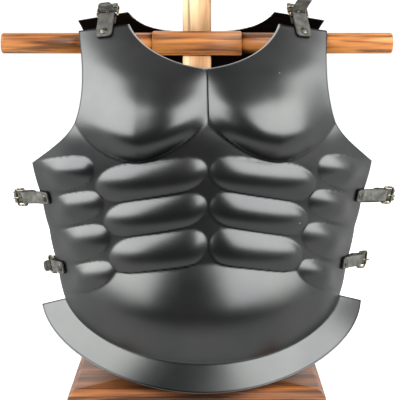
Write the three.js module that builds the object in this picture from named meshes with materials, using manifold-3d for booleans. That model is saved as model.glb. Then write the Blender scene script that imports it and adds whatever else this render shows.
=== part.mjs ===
// Muscle cuirass: an embossed steel breastplate buckled to its backplate by six leather
// straps, standing on a small wooden stand whose crossbar passes through the arm openings.
// Millimetres, +Z up. The front faces -Y, and the origin is the centre of the stand's
// underside.
import * as THREE from "three";
import { mergeVertices } from "three/addons/utils/BufferGeometryUtils.js";
import Module from "manifold-3d";

const wasm = await Module();
wasm.setup();

// ---------------------------------------------------------------- driving sizes
const GAP = 0.3;
const STEEL_WALL = 1.6;
const CUIRASS_OFFSET_X = 7.5; // the cuirass stands a little to one side of the post
const CUIRASS_TURN = THREE.MathUtils.degToRad(2.8); // and is turned a little on its stand
const CUIRASS_LIFT = 1.2; // keeps the lowest flange edge just clear of the base
const SECTION_ANGLE = THREE.MathUtils.degToRad(60); // spacing of a row's columns

const POST_SIZE = 37;
const POST_TOP = 592;
const BAR_HEIGHT = 462;
const BAR_Y = -5;
const BAR_LENGTH = 510;
const BAR_DIAMETER = 27;
const BLOCK_LENGTH = 116;
const BLOCK_SIZE = 31;

const LEATHER_WALL = 2.2;
const SEAT_GAP = 1.1; // between a strap's root and the curved plate under it
const BUCKLE_WIRE = 3;
const RIVET_SHANK_RADIUS = 2;
const RIVET_HEAD_RADIUS = 5;
const SEAT_RADIUS = 12; // of the flat spot that the relief leaves for a strap's root
const STRAP_FALL = 0.12; // fall of the straps outward along the plate

// Base profile, from the underside up: half width and height of each step.
const BASE_STEPS = [
  { half: 163, z: 0 },
  { half: 163, z: 23 },
  { half: 160, z: 25.5 },
  { half: 158, z: 26 },
  { half: 158, z: 28.5 },
  { half: 155, z: 31 },
];
const BASE_TOP = BASE_STEPS.at(-1).z;
const BASE_DEPTH_SHARE = 0.82; // the base is shallower than it is wide

// The front plate. Sections: at each height the wall is an arc through a side point
// (half, edge) and the centre (0, middle), both measured forward from the side plane.
// Outlines: cubic curves, each with its four control points, on the right-hand half.
const FRONT_PLATE = {
  facing: -1,
  columns: 17,
  sections: [
    { z: 40, half: 178, edge: 22, middle: 114 },
    { z: 100, half: 180, edge: 22, middle: 126 },
    { z: 130, half: 182, edge: 22, middle: 130 },
    { z: 165, half: 189, edge: 20, middle: 129 },
    { z: 220, half: 200, edge: 18, middle: 127 },
    { z: 265, half: 211, edge: 18, middle: 127 },
    { z: 306, half: 222, edge: 18, middle: 130 },
    { z: 350, half: 226, edge: 14, middle: 132 },
    { z: 390, half: 224, edge: 10, middle: 124 },
    { z: 430, half: 220, edge: 2, middle: 104 },
    { z: 460, half: 215, edge: -8, middle: 78 },
    { z: 490, half: 210, edge: -20, middle: 46 },
  ],
  bands: [
    {
      rows: 18,
      curved: [1, 1],
      inner: [[0, 64], [0, 143], [0, 221], [0, 300]],
      outer: [[184, 124], [192, 150], [202.5, 220], [224, 306]],
    },
    {
      rows: 11,
      curved: [1, 0],
      inner: [[0, 300], [0, 345], [0, 388], [0, 432.5]],
      outer: [[224, 306], [177, 344], [154, 357], [154, 415]],
    },
    {
      rows: 7,
      curved: [0, 0],
      inner: [[0, 432.5], [40, 437], [82, 454], [96, 485.5]],
      outer: [[154, 415], [154, 440], [158, 455], [160.5, 477]],
    },
  ],
  flange: { rows: 3, outMiddle: 13, outSide: 36, dropMiddle: 34, dropSide: 11, sweep: 54 },
};

// The back plate, in the same terms, with its depths measured backward.
const BACK_PLATE = {
  facing: 1,
  columns: 9,
  sections: [
    { z: 40, half: 170, edge: 46, middle: 104 },
    { z: 130, half: 176, edge: 50, middle: 106 },
    { z: 220, half: 192, edge: 52, middle: 110 },
    { z: 306, half: 208, edge: 52, middle: 124 },
    { z: 360, half: 208, edge: 46, middle: 130 },
    { z: 430, half: 204, edge: 34, middle: 116 },
    { z: 470, half: 198, edge: 20, middle: 76 },
    { z: 504, half: 192, edge: 2, middle: 38 },
  ],
  bands: [
    {
      rows: 9,
      curved: [1, 1],
      inner: [[0, 62], [0, 142], [0, 222], [0, 302]],
      outer: [[174, 118], [182, 148], [192, 220], [208, 302]],
    },
    {
      rows: 6,
      curved: [1, 0],
      inner: [[0, 302], [0, 362], [0, 418], [0, 474]],
      outer: [[208, 302], [165, 345], [150, 358], [150, 420]],
    },
    {
      rows: 4,
      curved: [0, 0],
      inner: [[0, 474], [45, 474], [82, 480], [97, 501]],
      outer: [[150, 420], [150, 445], [151, 470], [163, 490]],
    },
  ],
  flange: { rows: 2, outMiddle: 17, outSide: 16, dropMiddle: 22, dropSide: 12, sweep: 0 },
};

// Raised muscle blocks on each half: heights of the top and bottom edges at the inner and
// outer ends. An abdominal block lies between the centre line and its outer end. A side
// pad runs on past the plate's edge.
const BLOCK_RISE = 7.5;
const MUSCLE_BLOCKS = [
  { name: "upper abdominal", inner: 1, outer: 139, topIn: 331, topOut: 309, lowIn: 288, lowOut: 261 },
  { name: "middle abdominal", inner: 1, outer: 129, topIn: 287, topOut: 262, lowIn: 243, lowOut: 218 },
  { name: "lower abdominal", inner: 1, outer: 123, topIn: 242, topOut: 217, lowIn: 191, lowOut: 170 },
  { name: "first side pad", inner: 141, outer: 260, topIn: 327, topOut: 302, lowIn: 286, lowOut: 249 },
  { name: "second side pad", inner: 129, outer: 260, topIn: 285, topOut: 247, lowIn: 245, lowOut: 199 },
  { name: "third side pad", inner: 121, outer: 260, topIn: 244, topOut: 197, lowIn: 199, lowOut: 143 },
  { name: "fourth side pad", inner: 114, outer: 260, topIn: 198, topOut: 141, lowIn: 153, lowOut: 95 },
];
const PECTORAL = { rise: 24, x: 85, reach: 91, top: 386, lowest: 318, middle: 366, ledge: 42, groove: 70 };
const BELLY = { rise: 16, z: 116, halfWidth: 185, halfHeight: 76 };

// Strap sets. side: -1 left or +1 right, as seen from the front. x, z and backX, backZ: the
// rivets in the front and back plates. rest: strap length lying on the plate past a rivet.
// buckle: length of tab from the plate to the buckle's bar. flare: degrees that the tab
// stands out from the plate there. bend: how wide the billet's loop is. freeEnd: the length
// that stands out of the buckle, or 0 where the end lies behind the tab.
const STRAP_SETS = [
  { name: "shoulder_left", side: -1, over: true, x: 127, z: 475, backX: 130, backZ: 484,
    rest: 17, buckle: 11, flare: 0, bend: 14, width: 22, freeEnd: 12 },
  { name: "shoulder_right", side: 1, over: true, x: 127, z: 475, backX: 130, backZ: 484,
    rest: 17, buckle: 11, flare: 0, bend: 14, width: 21, freeEnd: 27 },
  { name: "side_upper_left", side: -1, over: false, x: 206, z: 261, backX: 194, backZ: 252,
    rest: 9, buckle: 36, flare: 20, bend: 24, width: 17, freeEnd: 0 },
  { name: "side_upper_right", side: 1, over: false, x: 206, z: 261, backX: 194, backZ: 250,
    rest: 9, buckle: 50, flare: 25, bend: 26, width: 17, freeEnd: 0 },
  { name: "side_lower_left", side: -1, over: false, x: 187, z: 168, backX: 176, backZ: 165,
    rest: 9, buckle: 14, flare: 0, bend: 20, width: 17, freeEnd: 9 },
  { name: "side_lower_right", side: 1, over: false, x: 188, z: 170, backX: 176, backZ: 160,
    rest: 9, buckle: 34, flare: 20, bend: 24, width: 17, freeEnd: 0 },
];

// ---------------------------------------------------------------- materials
function finish(color, roughness, metalness) {
  return new THREE.MeshStandardMaterial({ color, roughness, metalness });
}
const STEEL = finish(0x4a4a4d, 0.38, 1);
const LEATHER = finish(0x77756f, 0.85, 0);
const BRASS = finish(0x8a7440, 0.4, 1);
const WARM_WOOD = finish(0xb3702f, 0.45, 0);
const PALE_WOOD = finish(0xcfa26a, 0.5, 0);

// ---------------------------------------------------------------- small helpers
function smoothStep(from, to, value) {
  return THREE.MathUtils.smoothstep(value, from, to);
}

// A pillow's height over its edge distance: steep at the edge, level at the top.
function pillow(distance, width) {
  const inside = THREE.MathUtils.clamp(distance / width, 0, 1);
  return 1 - (1 - inside) ** 2.4;
}

function cubicAt(points, t) {
  const [a, b, c, d] = points.map(([x, z]) => new THREE.Vector2(x, z));
  return new THREE.CubicBezierCurve(a, b, c, d).getPoint(t);
}

function sectionAt(plate, z) {
  const rows = plate.sections;
  const next = THREE.MathUtils.clamp(rows.findIndex((row) => row.z > z), 1, rows.length - 1);
  const [low, high] = [rows[next - 1], rows[next]];
  const t = (z - low.z) / (high.z - low.z);
  const mix = (key) => THREE.MathUtils.lerp(low[key], high[key], t);
  return { half: mix("half"), edge: mix("edge"), middle: mix("middle") };
}

// ---------------------------------------------------------------- muscle relief
// A cushion over a leaning rounded oblong, crowned all the way from edge to edge.
function blockDome(block, x, z) {
  const share = (x - block.inner) / (block.outer - block.inner);
  const top = THREE.MathUtils.lerp(block.topIn, block.topOut, share);
  const low = THREE.MathUtils.lerp(block.lowIn, block.lowOut, share);
  const across = (2 * z - top - low) / (top - low);
  const along = 2 * share - 1;
  return Math.max(0, 1 - across ** 2 - Math.abs(along) ** (along < 0 ? 5 : 4));
}

// The pectoral's lower edge: a curve up to the centre line and an oval up to the arm.
function pectoralFoot(x) {
  const { lowest, middle, top } = PECTORAL;
  const inward = Math.max(0, 1 - x / PECTORAL.x) ** 1.5;
  const outward = THREE.MathUtils.clamp((x - PECTORAL.x) / PECTORAL.reach, 0, 1);
  return lowest + (middle - lowest) * inward + (top - lowest) * (1 - (1 - outward ** 2) ** 0.7);
}

function pectoralRise(x, z) {
  const ledge = pillow(z - pectoralFoot(x), PECTORAL.ledge);
  const groove = pillow(x, PECTORAL.groove);
  const shoulder = 1 - smoothStep(360, 470, z);
  const arm = 1 - 0.9 * smoothStep(80, 165, x);
  return PECTORAL.rise * ledge * groove * shoulder * arm;
}

function bellyRise(x, z) {
  const radius = Math.hypot(x / BELLY.halfWidth, (z - BELLY.z) / BELLY.halfHeight);
  return BELLY.rise * Math.max(0, 1 - radius ** 2);
}

// The relief dies away round each strap's root, so that the leather lies flat.
function seatShare(x, z) {
  const shares = STRAP_SETS.map((set) => (
    1 - Math.exp(-((x - set.x) ** 2 + (z - set.z) ** 2) / (2 * SEAT_RADIUS ** 2))));
  return Math.min(...shares);
}

function frontRelief(x, z) {
  const toEdge = sectionAt(FRONT_PLATE, z).half - x;
  const calm = 0.15 + 0.85 * smoothStep(2, 40, toEdge);
  const blocks = MUSCLE_BLOCKS.map((block) => blockDome(block, x, z));
  const padding = Math.max(Math.max(...blocks) * BLOCK_RISE * calm, bellyRise(x, z));
  const rise = padding + pectoralRise(x, z);
  return rise * seatShare(x, z);
}

function backRelief(x, z) {
  const blade = Math.max(0, 1 - Math.hypot((x - 88) / 78, (z - 378) / 92) ** 2);
  const spine = Math.exp(-((x / 13) ** 2)) * smoothStep(110, 170, z) * (1 - smoothStep(400, 450, z));
  return 9 * blade - 5 * spine;
}

// ---------------------------------------------------------------- plate surfaces
// Point on a plate's outer face above x and z, pushed out by rise along its arc's radius.
function wallPoint(plate, x, z, rise) {
  const { half, edge, middle } = sectionAt(plate, z);
  const bulge = middle - edge;
  const radius = (half * half + bulge * bulge) / (2 * bulge);
  const slope = Math.sqrt(1 - (x / radius) ** 2);
  const depth = middle - radius + radius * slope;
  const outward = new THREE.Vector3(x / radius, plate.facing * slope, 0);
  const point = new THREE.Vector3(x, plate.facing * depth, z);
  return { point: point.addScaledVector(outward, rise), outward };
}

// The fold's rise from the middle to the side, an oval quarter.
function foldCurve(across) {
  const reach = 0.985;
  return (1 - (1 - (across * reach) ** 2) ** 0.6) / (1 - (1 - reach ** 2) ** 0.6);
}

// Outline position of a row's column: band row t, column s from inner (0) to outer (1).
function bandPoint(band, t, s) {
  const inner = cubicAt(band.inner, t);
  const outer = cubicAt(band.outer, t);
  const across = Math.sin(s * SECTION_ANGLE) / Math.sin(SECTION_ANGLE);
  const curved = THREE.MathUtils.lerp(band.curved[0], band.curved[1], t);
  const climb = THREE.MathUtils.lerp(across, foldCurve(across), curved);
  const x = THREE.MathUtils.lerp(inner.x, outer.x, across);
  const z = THREE.MathUtils.lerp(inner.y, outer.y, climb);
  return { x, z };
}

const UPRIGHT = new THREE.Vector3(0, 0, 1);

// The flange turns out and down from the fold, k from 0 at the fold to 1 at its edge. Its
// way out is swept back towards the side edge by up to the flange's sweep in degrees.
function flangePoint(plate, relief, k, s) {
  const { x, z } = bandPoint(plate.bands[0], 0, s);
  const { point, outward } = wallPoint(plate, x, z, relief(x, z));
  const flange = plate.flange;
  const out = THREE.MathUtils.lerp(flange.outMiddle, flange.outSide, s * s);
  const drop = THREE.MathUtils.lerp(flange.dropMiddle, flange.dropSide, s * s);
  const sweep = THREE.MathUtils.degToRad(flange.sweep) * s * s * plate.facing * -1;
  point.addScaledVector(outward.applyAxisAngle(UPRIGHT, sweep), out * k);
  point.z -= drop * k;
  return point;
}

// All rows of a plate's outer face from the flange's edge up, and where the neck opens.
function plateRows(plate, relief) {
  const rows = [];
  const columns = plate.columns;
  for (let row = plate.flange.rows; row > 0; row -= 1) {
    const k = row / plate.flange.rows;
    rows.push((s) => flangePoint(plate, relief, k, s));
  }
  plate.bands.forEach((band, index) => {
    const first = index === 0 ? 0 : 1;
    for (let row = first; row <= band.rows; row += 1) {
      rows.push((s) => {
        const { x, z } = bandPoint(band, row / band.rows, s);
        return wallPoint(plate, x, z, relief(x, z)).point;
      });
    }
  });
  const neckRow = rows.length - 1 - plate.bands.at(-1).rows;
  const points = rows.map((row) => Array.from({ length: columns + 1 }, (_, i) => row(i / columns)));
  return { points, neckRow };
}

// Unit normals of a grid of points, pointing away from the wearer.
function gridNormals(points, facing, neckRow) {
  const at = (list, index) => list[THREE.MathUtils.clamp(index, 0, list.length - 1)];
  return points.map((row, j) => row.map((_, i) => {
    const along = at(row, i + 1).clone().sub(at(row, i - 1));
    const up = at(points, j + 1)[i].clone().sub(at(points, j - 1)[i]);
    const normal = along.cross(up).normalize().multiplyScalar(-facing);
    if (i === 0 && j <= neckRow) {
      normal.x = 0;
    }
    return normal.normalize();
  }));
}

// A closed plate: outer and inner faces of both halves, with a rim round every free edge.
function plateGeometry(plate, relief) {
  const { points, neckRow } = plateRows(plate, relief);
  const normals = gridNormals(points, plate.facing, neckRow);
  const inner = points.map((row, j) => row.map((point, i) => (
    point.clone().addScaledVector(normals[j][i], -STEEL_WALL))));
  const [lastRow, lastColumn] = [points.length - 1, plate.columns];
  const corners = [];
  const quad = (a, b, c, d) => corners.push(a, b, c, a, c, d);
  for (let j = 0; j < lastRow; j += 1) {
    for (let i = 0; i < lastColumn; i += 1) {
      quad(points[j][i], points[j][i + 1], points[j + 1][i + 1], points[j + 1][i]);
      quad(inner[j][i], inner[j + 1][i], inner[j + 1][i + 1], inner[j][i + 1]);
    }
    quad(points[j][lastColumn], inner[j][lastColumn], inner[j + 1][lastColumn], points[j + 1][lastColumn]);
    if (j >= neckRow) {
      quad(points[j][0], points[j + 1][0], inner[j + 1][0], inner[j][0]);
    }
  }
  for (let i = 0; i < lastColumn; i += 1) {
    quad(points[0][i], inner[0][i], inner[0][i + 1], points[0][i + 1]);
    quad(points[lastRow][i], points[lastRow][i + 1], inner[lastRow][i + 1], inner[lastRow][i]);
  }
  const otherHalf = corners.map((corner) => new THREE.Vector3(-corner.x, corner.y, corner.z));
  return closedGeometry([...corners, ...otherHalf.reverse()]);
}

// Merges a list of triangle corners into one closed geometry whose faces point out.
function closedGeometry(corners) {
  let volume = 0;
  for (let k = 0; k < corners.length; k += 3) {
    volume += corners[k].dot(corners[k + 1].clone().cross(corners[k + 2]));
  }
  const ordered = volume > 0 ? corners : [...corners].reverse();
  return mergeVertices(new THREE.BufferGeometry().setFromPoints(ordered), 1e-4);
}

// ---------------------------------------------------------------- joining and cutting
function toSolid(geometry) {
  const plain = geometry.clone();
  plain.deleteAttribute("normal");
  plain.deleteAttribute("uv");
  const merged = mergeVertices(plain, 1e-4);
  const vertProperties = new Float32Array(merged.attributes.position.array);
  const triVerts = new Uint32Array(merged.index.array);
  return new wasm.Manifold(new wasm.Mesh({ numProp: 3, vertProperties, triVerts }));
}

function toGeometry(solid) {
  const mesh = solid.getMesh();
  const geometry = new THREE.BufferGeometry();
  geometry.setAttribute("position", new THREE.BufferAttribute(mesh.vertProperties, 3));
  geometry.setIndex(new THREE.BufferAttribute(mesh.triVerts, 1));
  return geometry;
}

function cut(geometry, cutters) {
  const start = toSolid(geometry);
  return toGeometry(cutters.reduce((solid, cutter) => solid.subtract(toSolid(cutter)), start));
}

// ---------------------------------------------------------------- straps
const FRAME_LENGTH = 15; // from the bar to the far side of the buckle
const FRAME_MARGIN = 1.2; // between the strap and the buckle's rails
const BAR_SINK = 0.75 * BUCKLE_WIRE + GAP + LEATHER_WALL / 2; // bar centre below the strap's
const RETURN_SINK = 2 * BAR_SINK; // the hem that comes back under the bar
const BILLET_SINK = RETURN_SINK + LEATHER_WALL + 0.8;
const HEM_LENGTH = 10;
const ROOT_LENGTH = 8;

// Where a strap is riveted: on the plate, with the strap's width and direction along it.
// A shoulder strap's width and a side strap's length follow the plate outward and down.
function strapAnchor(plate, relief, x, z, set) {
  const at = (dx, dz) => wallPoint(plate, x + dx, z + dz, relief(x + dx, z + dz)).point;
  const across = at(3, -3 * STRAP_FALL).sub(at(-3, 3 * STRAP_FALL)).normalize();
  const up = at(0, 3).sub(at(0, -3));
  const lean = across.clone().cross(up).normalize().multiplyScalar(-plate.facing);
  const upward = across.clone().cross(lean).normalize();
  upward.multiplyScalar(Math.sign(upward.z));
  const [width, along] = set.over ? [across, upward] : [upward, across];
  const centre = at(0, 0).addScaledVector(lean, SEAT_GAP + LEATHER_WALL / 2);
  const leave = centre.clone().addScaledVector(along, set.rest);
  return { centre, leave, along, width, lean };
}

// A strap's two curves: the tab out to the buckle's bar, and the billet from the buckle's
// far side round to the back plate. Each is a route: a curve, its widths and outward sign.
function strapRoutes(set) {
  const start = strapAnchor(FRONT_PLATE, frontRelief, set.x, set.z, set);
  const end = strapAnchor(BACK_PLATE, backRelief, set.backX, set.backZ, set);
  const outward = Math.sign(start.width.clone().cross(start.along).dot(start.lean));
  const turn = THREE.MathUtils.degToRad(set.flare);
  const along = start.along.clone().multiplyScalar(Math.cos(turn));
  along.addScaledVector(start.lean, Math.sin(turn));
  const middle = start.leave.clone().addScaledVector(start.along, set.buckle / 2);
  const centre = middle.clone().addScaledVector(along, set.buckle / 2);
  const lean = start.width.clone().cross(along).multiplyScalar(outward);
  const tab = {
    curve: new THREE.QuadraticBezierCurve3(start.leave, middle, centre),
    widths: [start.width, start.width],
    outward,
  };
  const far = centre.clone().addScaledVector(along, FRAME_LENGTH + BUCKLE_WIRE);
  far.addScaledVector(lean, -BILLET_SINK);
  const billet = {
    curve: new THREE.CubicBezierCurve3(
      far,
      far.clone().addScaledVector(along, set.bend),
      end.leave.clone().addScaledVector(end.along, set.bend),
      end.leave,
    ),
    widths: [start.width, end.width],
    outward,
  };
  return { start, end, tab, billet, bar: { centre, along, width: start.width, lean } };
}

// The frame at a distance along a route: centre, direction, width and outward side.
function routeFrame({ curve, widths, outward }, distance) {
  const length = curve.getLength();
  const t = THREE.MathUtils.clamp(distance / length, 0, 1);
  const along = curve.getTangentAt(t);
  const centre = curve.getPointAt(t).addScaledVector(along, distance - t * length);
  const width = widths[0].clone().lerp(widths[1], t);
  width.addScaledVector(along, -width.dot(along)).normalize();
  const lean = width.clone().cross(along).multiplyScalar(outward);
  return { centre, along, width, lean };
}

// A leather strip: each station gives its centre, width, outward side and half width.
function strip(stations) {
  const ring = ({ centre, width, lean, half }) => [[-1, -1], [1, -1], [1, 1], [-1, 1]].map(([a, n]) => (
    centre.clone().addScaledVector(width, a * half).addScaledVector(lean, (n * LEATHER_WALL) / 2)));
  const rings = stations.map(ring);
  const corners = [];
  const quad = (a, b, c, d) => corners.push(a, b, c, a, c, d);
  for (let k = 1; k < rings.length; k += 1) {
    for (let side = 0; side < 4; side += 1) {
      const next = (side + 1) % 4;
      quad(rings[k - 1][side], rings[k - 1][next], rings[k][next], rings[k][side]);
    }
  }
  quad(...[...rings[0]].reverse());
  quad(...rings.at(-1));
  return closedGeometry(corners);
}

// Stations along a route from one distance to another.
function routeStations(route, from, to, steps, half) {
  return Array.from({ length: steps + 1 }, (_, k) => (
    { ...routeFrame(route, THREE.MathUtils.lerp(from, to, k / steps)), half }));
}

// Two narrower stations that round off a strip's end.
function roundedEnd(route, tip, inward, half) {
  return [{ back: 0, share: 0.5 }, { back: 1.6, share: 0.86 }].map(({ back, share }) => (
    { ...routeFrame(route, tip + inward * back), half: half * share }));
}

// The tab: rounded root, over the bar, round it, and back under as a short hem.
function tabGeometry(set, { tab, bar }) {
  const half = set.width / 2;
  const tip = -set.rest - ROOT_LENGTH;
  const root = roundedEnd(tab, tip, 1, half);
  const onTop = routeStations(tab, tip + 4, tab.curve.getLength(), 5, half);
  const wrap = [1, 2, 3, 4].map((k) => {
    const angle = (k / 4) * Math.PI;
    const lean = bar.lean.clone().multiplyScalar(Math.cos(angle));
    lean.addScaledVector(bar.along, Math.sin(angle));
    const centre = bar.centre.clone().addScaledVector(bar.lean, -BAR_SINK);
    return { centre: centre.addScaledVector(lean, BAR_SINK), width: bar.width, lean, half };
  });
  const hem = { ...wrap.at(-1), centre: barPoint(bar, -HEM_LENGTH, -RETURN_SINK) };
  return strip([...root, ...onTop, ...wrap, hem]);
}

// A point in the buckle's frame: u along the strap from the bar, n outward, w across.
function barPoint({ centre, along, width, lean }, u, n, w = 0) {
  return centre.clone().addScaledVector(along, u).addScaledVector(lean, n).addScaledVector(width, w);
}

// The billet: a strap from the buckle's frame round to the back plate.
function billetGeometry(set, { billet, bar }) {
  const half = set.width / 2 - 1;
  const tip = billet.curve.getLength() + set.rest + ROOT_LENGTH;
  const front = frontEnd(set, bar, half);
  const rest = routeStations(billet, 0, tip - 4, 9, half);
  const back = roundedEnd(billet, tip, -1, half).reverse();
  return strip([...front, ...rest, ...back]);
}

// The billet's front end, from its tip. It comes up through the frame and stands out of
// it, or lies flat behind the tab.
function frontEnd(set, bar, half) {
  const standing = [
    { u: 7 + set.freeEnd * 0.2, n: set.freeEnd, tilt: 0.2, share: 0.8 },
    { u: 8, n: set.freeEnd * 0.5, tilt: 0.1, share: 1 },
    { u: 7.6, n: -3, tilt: 0.05, share: 1 },
    { u: 8.8, n: -6.6, tilt: 0.6, share: 1 },
    { u: 12, n: -BILLET_SINK, tilt: 1.3, share: 1 },
  ];
  const lying = [
    { u: -14, n: -BILLET_SINK, tilt: Math.PI / 2, share: 0.6 },
    { u: -11, n: -BILLET_SINK, tilt: Math.PI / 2, share: 1 },
  ];
  return (set.freeEnd > 0 ? standing : lying).map(({ u, n, tilt, share }) => {
    const lean = bar.along.clone().multiplyScalar(-Math.cos(tilt));
    lean.addScaledVector(bar.lean, Math.sin(tilt));
    return { centre: barPoint(bar, u, n), width: bar.width, lean, half: half * share };
  });
}

function roundedRectangle(path, x0, x1, y0, y1, radius) {
  path.moveTo(x0 + radius, y0);
  path.lineTo(x1 - radius, y0);
  path.absarc(x1 - radius, y0 + radius, radius, -Math.PI / 2, 0);
  path.absarc(x1 - radius, y1 - radius, radius, 0, Math.PI / 2);
  path.absarc(x0 + radius, y1 - radius, radius, Math.PI / 2, Math.PI);
  path.absarc(x0 + radius, y0 + radius, radius, Math.PI, 1.5 * Math.PI);
  return path;
}

function buckleGeometry(set, { bar }) {
  const rail = set.width / 2 + FRAME_MARGIN;
  const wire = BUCKLE_WIRE / 2;
  const outer = [-wire, FRAME_LENGTH + wire, -rail - 2 * wire, rail + 2 * wire];
  const inner = [wire, FRAME_LENGTH - wire, -rail, rail];
  const shape = roundedRectangle(new THREE.Shape(), ...outer, 3);
  shape.holes.push(roundedRectangle(new THREE.Path(), ...inner, 1));
  const options = { depth: BUCKLE_WIRE, bevelEnabled: false, curveSegments: 1 };
  const geometry = new THREE.ExtrudeGeometry(shape, options).translate(0, 0, -wire);
  const basis = new THREE.Matrix4().makeBasis(bar.along, bar.width, bar.along.clone().cross(bar.width));
  return geometry.applyMatrix4(basis.setPosition(barPoint(bar, 0, -BAR_SINK)));
}

// The tongue lies from the tab's turn over the far side of the frame.
function tongueGeometry({ bar }) {
  const rest = BUCKLE_WIRE / 2 + GAP - BAR_SINK; // just above the frame
  const root = BAR_SINK + LEATHER_WALL / 2 + 2 * GAP;
  const tip = FRAME_LENGTH + 5;
  const half = 1.4;
  const outline = [
    { u: root + 3, n: rest },
    { u: tip, n: rest },
    { u: tip, n: rest + 1.2 },
    { u: root + 5, n: rest + 2.2 },
    { u: root, n: rest - 0.4 },
    { u: root, n: rest - 2 },
  ];
  const [near, far] = [-half, half].map((w) => outline.map(({ u, n }) => barPoint(bar, u, n, w)));
  const corners = [];
  outline.forEach((_, k) => {
    const next = (k + 1) % outline.length;
    corners.push(near[k], near[next], far[next], near[k], far[next], far[k]);
  });
  for (let k = 1; k < outline.length - 1; k += 1) { // every corner is in sight of the first
    corners.push(near[0], near[k + 1], near[k], far[0], far[k], far[k + 1]);
  }
  return closedGeometry(corners);
}

// A rivet through leather and plate: domed head outside, small washer inside.
function rivetGeometry(place, spread) {
  const stack = LEATHER_WALL / 2;
  const head = stack + GAP;
  const foot = -spread;
  const profile = [
    [0, foot - 1.4],
    [RIVET_HEAD_RADIUS - 1, foot - 1.4],
    [RIVET_HEAD_RADIUS - 1, foot],
    [RIVET_SHANK_RADIUS, foot],
    [RIVET_SHANK_RADIUS, head],
    [RIVET_HEAD_RADIUS, head],
    [RIVET_HEAD_RADIUS - 1.2, head + 1.1],
    [0, head + 1.7],
  ].map(([radius, height]) => new THREE.Vector2(radius, height));
  return alongLean(new THREE.LatheGeometry(profile, 6), place);
}

// Turns a shape drawn about +Y so that +Y points along the place's lean.
function alongLean(geometry, place) {
  const turn = new THREE.Quaternion().setFromUnitVectors(new THREE.Vector3(0, 1, 0), place.lean);
  geometry.applyQuaternion(turn);
  return geometry.translate(...place.centre);
}

function rivetHole(place) {
  const radius = RIVET_SHANK_RADIUS + GAP + 0.1;
  return alongLean(new THREE.CylinderGeometry(radius, radius, 24, 6), place);
}

// ---------------------------------------------------------------- stand
function baseGeometry() {
  const profile = BASE_STEPS.map(({ half, z }) => new THREE.Vector2(half * Math.SQRT2, z));
  const points = [new THREE.Vector2(0, 0), ...profile, new THREE.Vector2(0, BASE_TOP)];
  const geometry = new THREE.LatheGeometry(points, 4, Math.PI / 4);
  return geometry.rotateX(Math.PI / 2).scale(1, BASE_DEPTH_SHARE, 1);
}

function barGeometry() {
  const radius = BAR_DIAMETER / 2;
  const end = BAR_LENGTH / 2;
  const profile = [[0, -end], [radius - 3, -end], [radius, -end + 3], [radius, end - 3],
    [radius - 3, end], [0, end]].map(([r, y]) => new THREE.Vector2(r, y));
  const dowel = new THREE.LatheGeometry(profile, 16).rotateZ(Math.PI / 2);
  const block = new THREE.BoxGeometry(BLOCK_LENGTH, BLOCK_SIZE, BLOCK_SIZE);
  return toGeometry(toSolid(dowel).add(toSolid(block))).translate(0, BAR_Y, BAR_HEIGHT);
}

function postGeometry() {
  const height = POST_TOP - BASE_TOP - GAP;
  const post = new THREE.BoxGeometry(POST_SIZE, POST_SIZE, height);
  post.translate(0, 0, BASE_TOP + GAP + height / 2);
  const notch = new THREE.BoxGeometry(POST_SIZE + 4, BLOCK_SIZE + 2 * GAP + 20, BLOCK_SIZE + 2 * GAP);
  notch.translate(0, BAR_Y - 10, BAR_HEIGHT);
  return cut(post, [notch]);
}

// ---------------------------------------------------------------- assembly
function named(name, geometry, material) {
  const mesh = new THREE.Mesh(geometry, material);
  mesh.name = name;
  return mesh;
}

function mirrored(geometry, side) {
  if (side > 0) {
    return geometry;
  }
  const position = geometry.attributes.position;
  const corners = (geometry.index ? [...geometry.index.array] : [...Array(position.count).keys()])
    .map((k) => new THREE.Vector3(-position.getX(k), position.getY(k), position.getZ(k)));
  return closedGeometry(corners);
}

function strapSet(set) {
  const routes = strapRoutes(set);
  const holes = [rivetHole(routes.start), rivetHole(routes.end)];
  const stack = SEAT_GAP + LEATHER_WALL / 2 + STEEL_WALL + 1.2;
  const pieces = [
    ["tab", cut(tabGeometry(set, routes), [holes[0]]), LEATHER],
    ["buckle", buckleGeometry(set, routes), BRASS],
    ["tongue", tongueGeometry(routes), BRASS],
    ["billet", cut(billetGeometry(set, routes), [holes[1]]), LEATHER],
    ["tab_rivet", rivetGeometry(routes.start, stack), BRASS],
    ["billet_rivet", rivetGeometry(routes.end, stack), BRASS],
  ];
  return {
    meshes: pieces.map(([piece, geometry, material]) => (
      named(`${set.name}_${piece}`, mirrored(geometry, set.side), material))),
    frontHole: mirrored(holes[0], set.side),
    backHole: mirrored(holes[1], set.side),
  };
}

const cuirass = new THREE.Group();
cuirass.position.set(CUIRASS_OFFSET_X, 0, CUIRASS_LIFT);
cuirass.rotation.z = CUIRASS_TURN;
const straps = STRAP_SETS.map(strapSet);
const frontHoles = straps.map((set) => set.frontHole);
const backHoles = straps.map((set) => set.backHole);
cuirass.add(named("front_plate", cut(plateGeometry(FRONT_PLATE, frontRelief), frontHoles), STEEL));
cuirass.add(named("back_plate", cut(plateGeometry(BACK_PLATE, backRelief), backHoles), STEEL));
straps.forEach((set) => cuirass.add(...set.meshes));

const stand = new THREE.Group();
stand.add(named("stand_base", baseGeometry(), WARM_WOOD));
stand.add(named("stand_post", postGeometry(), PALE_WOOD));
stand.add(named("crossbar", barGeometry(), PALE_WOOD));

const model = new THREE.Group();
model.add(cuirass, stand);

export default model;
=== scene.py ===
# %% [markdown]
# # A steel muscle cuirass on its wooden stand
# The real object is a breastplate and a backplate, raised from sheet steel over stakes and
# blackened, joined by six leather straps with brass buckles. It stands on a small wooden
# stand. The frame below is the finished construction: every solid already has its place
# and size, so the work here is the surface that each one shows.

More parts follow.
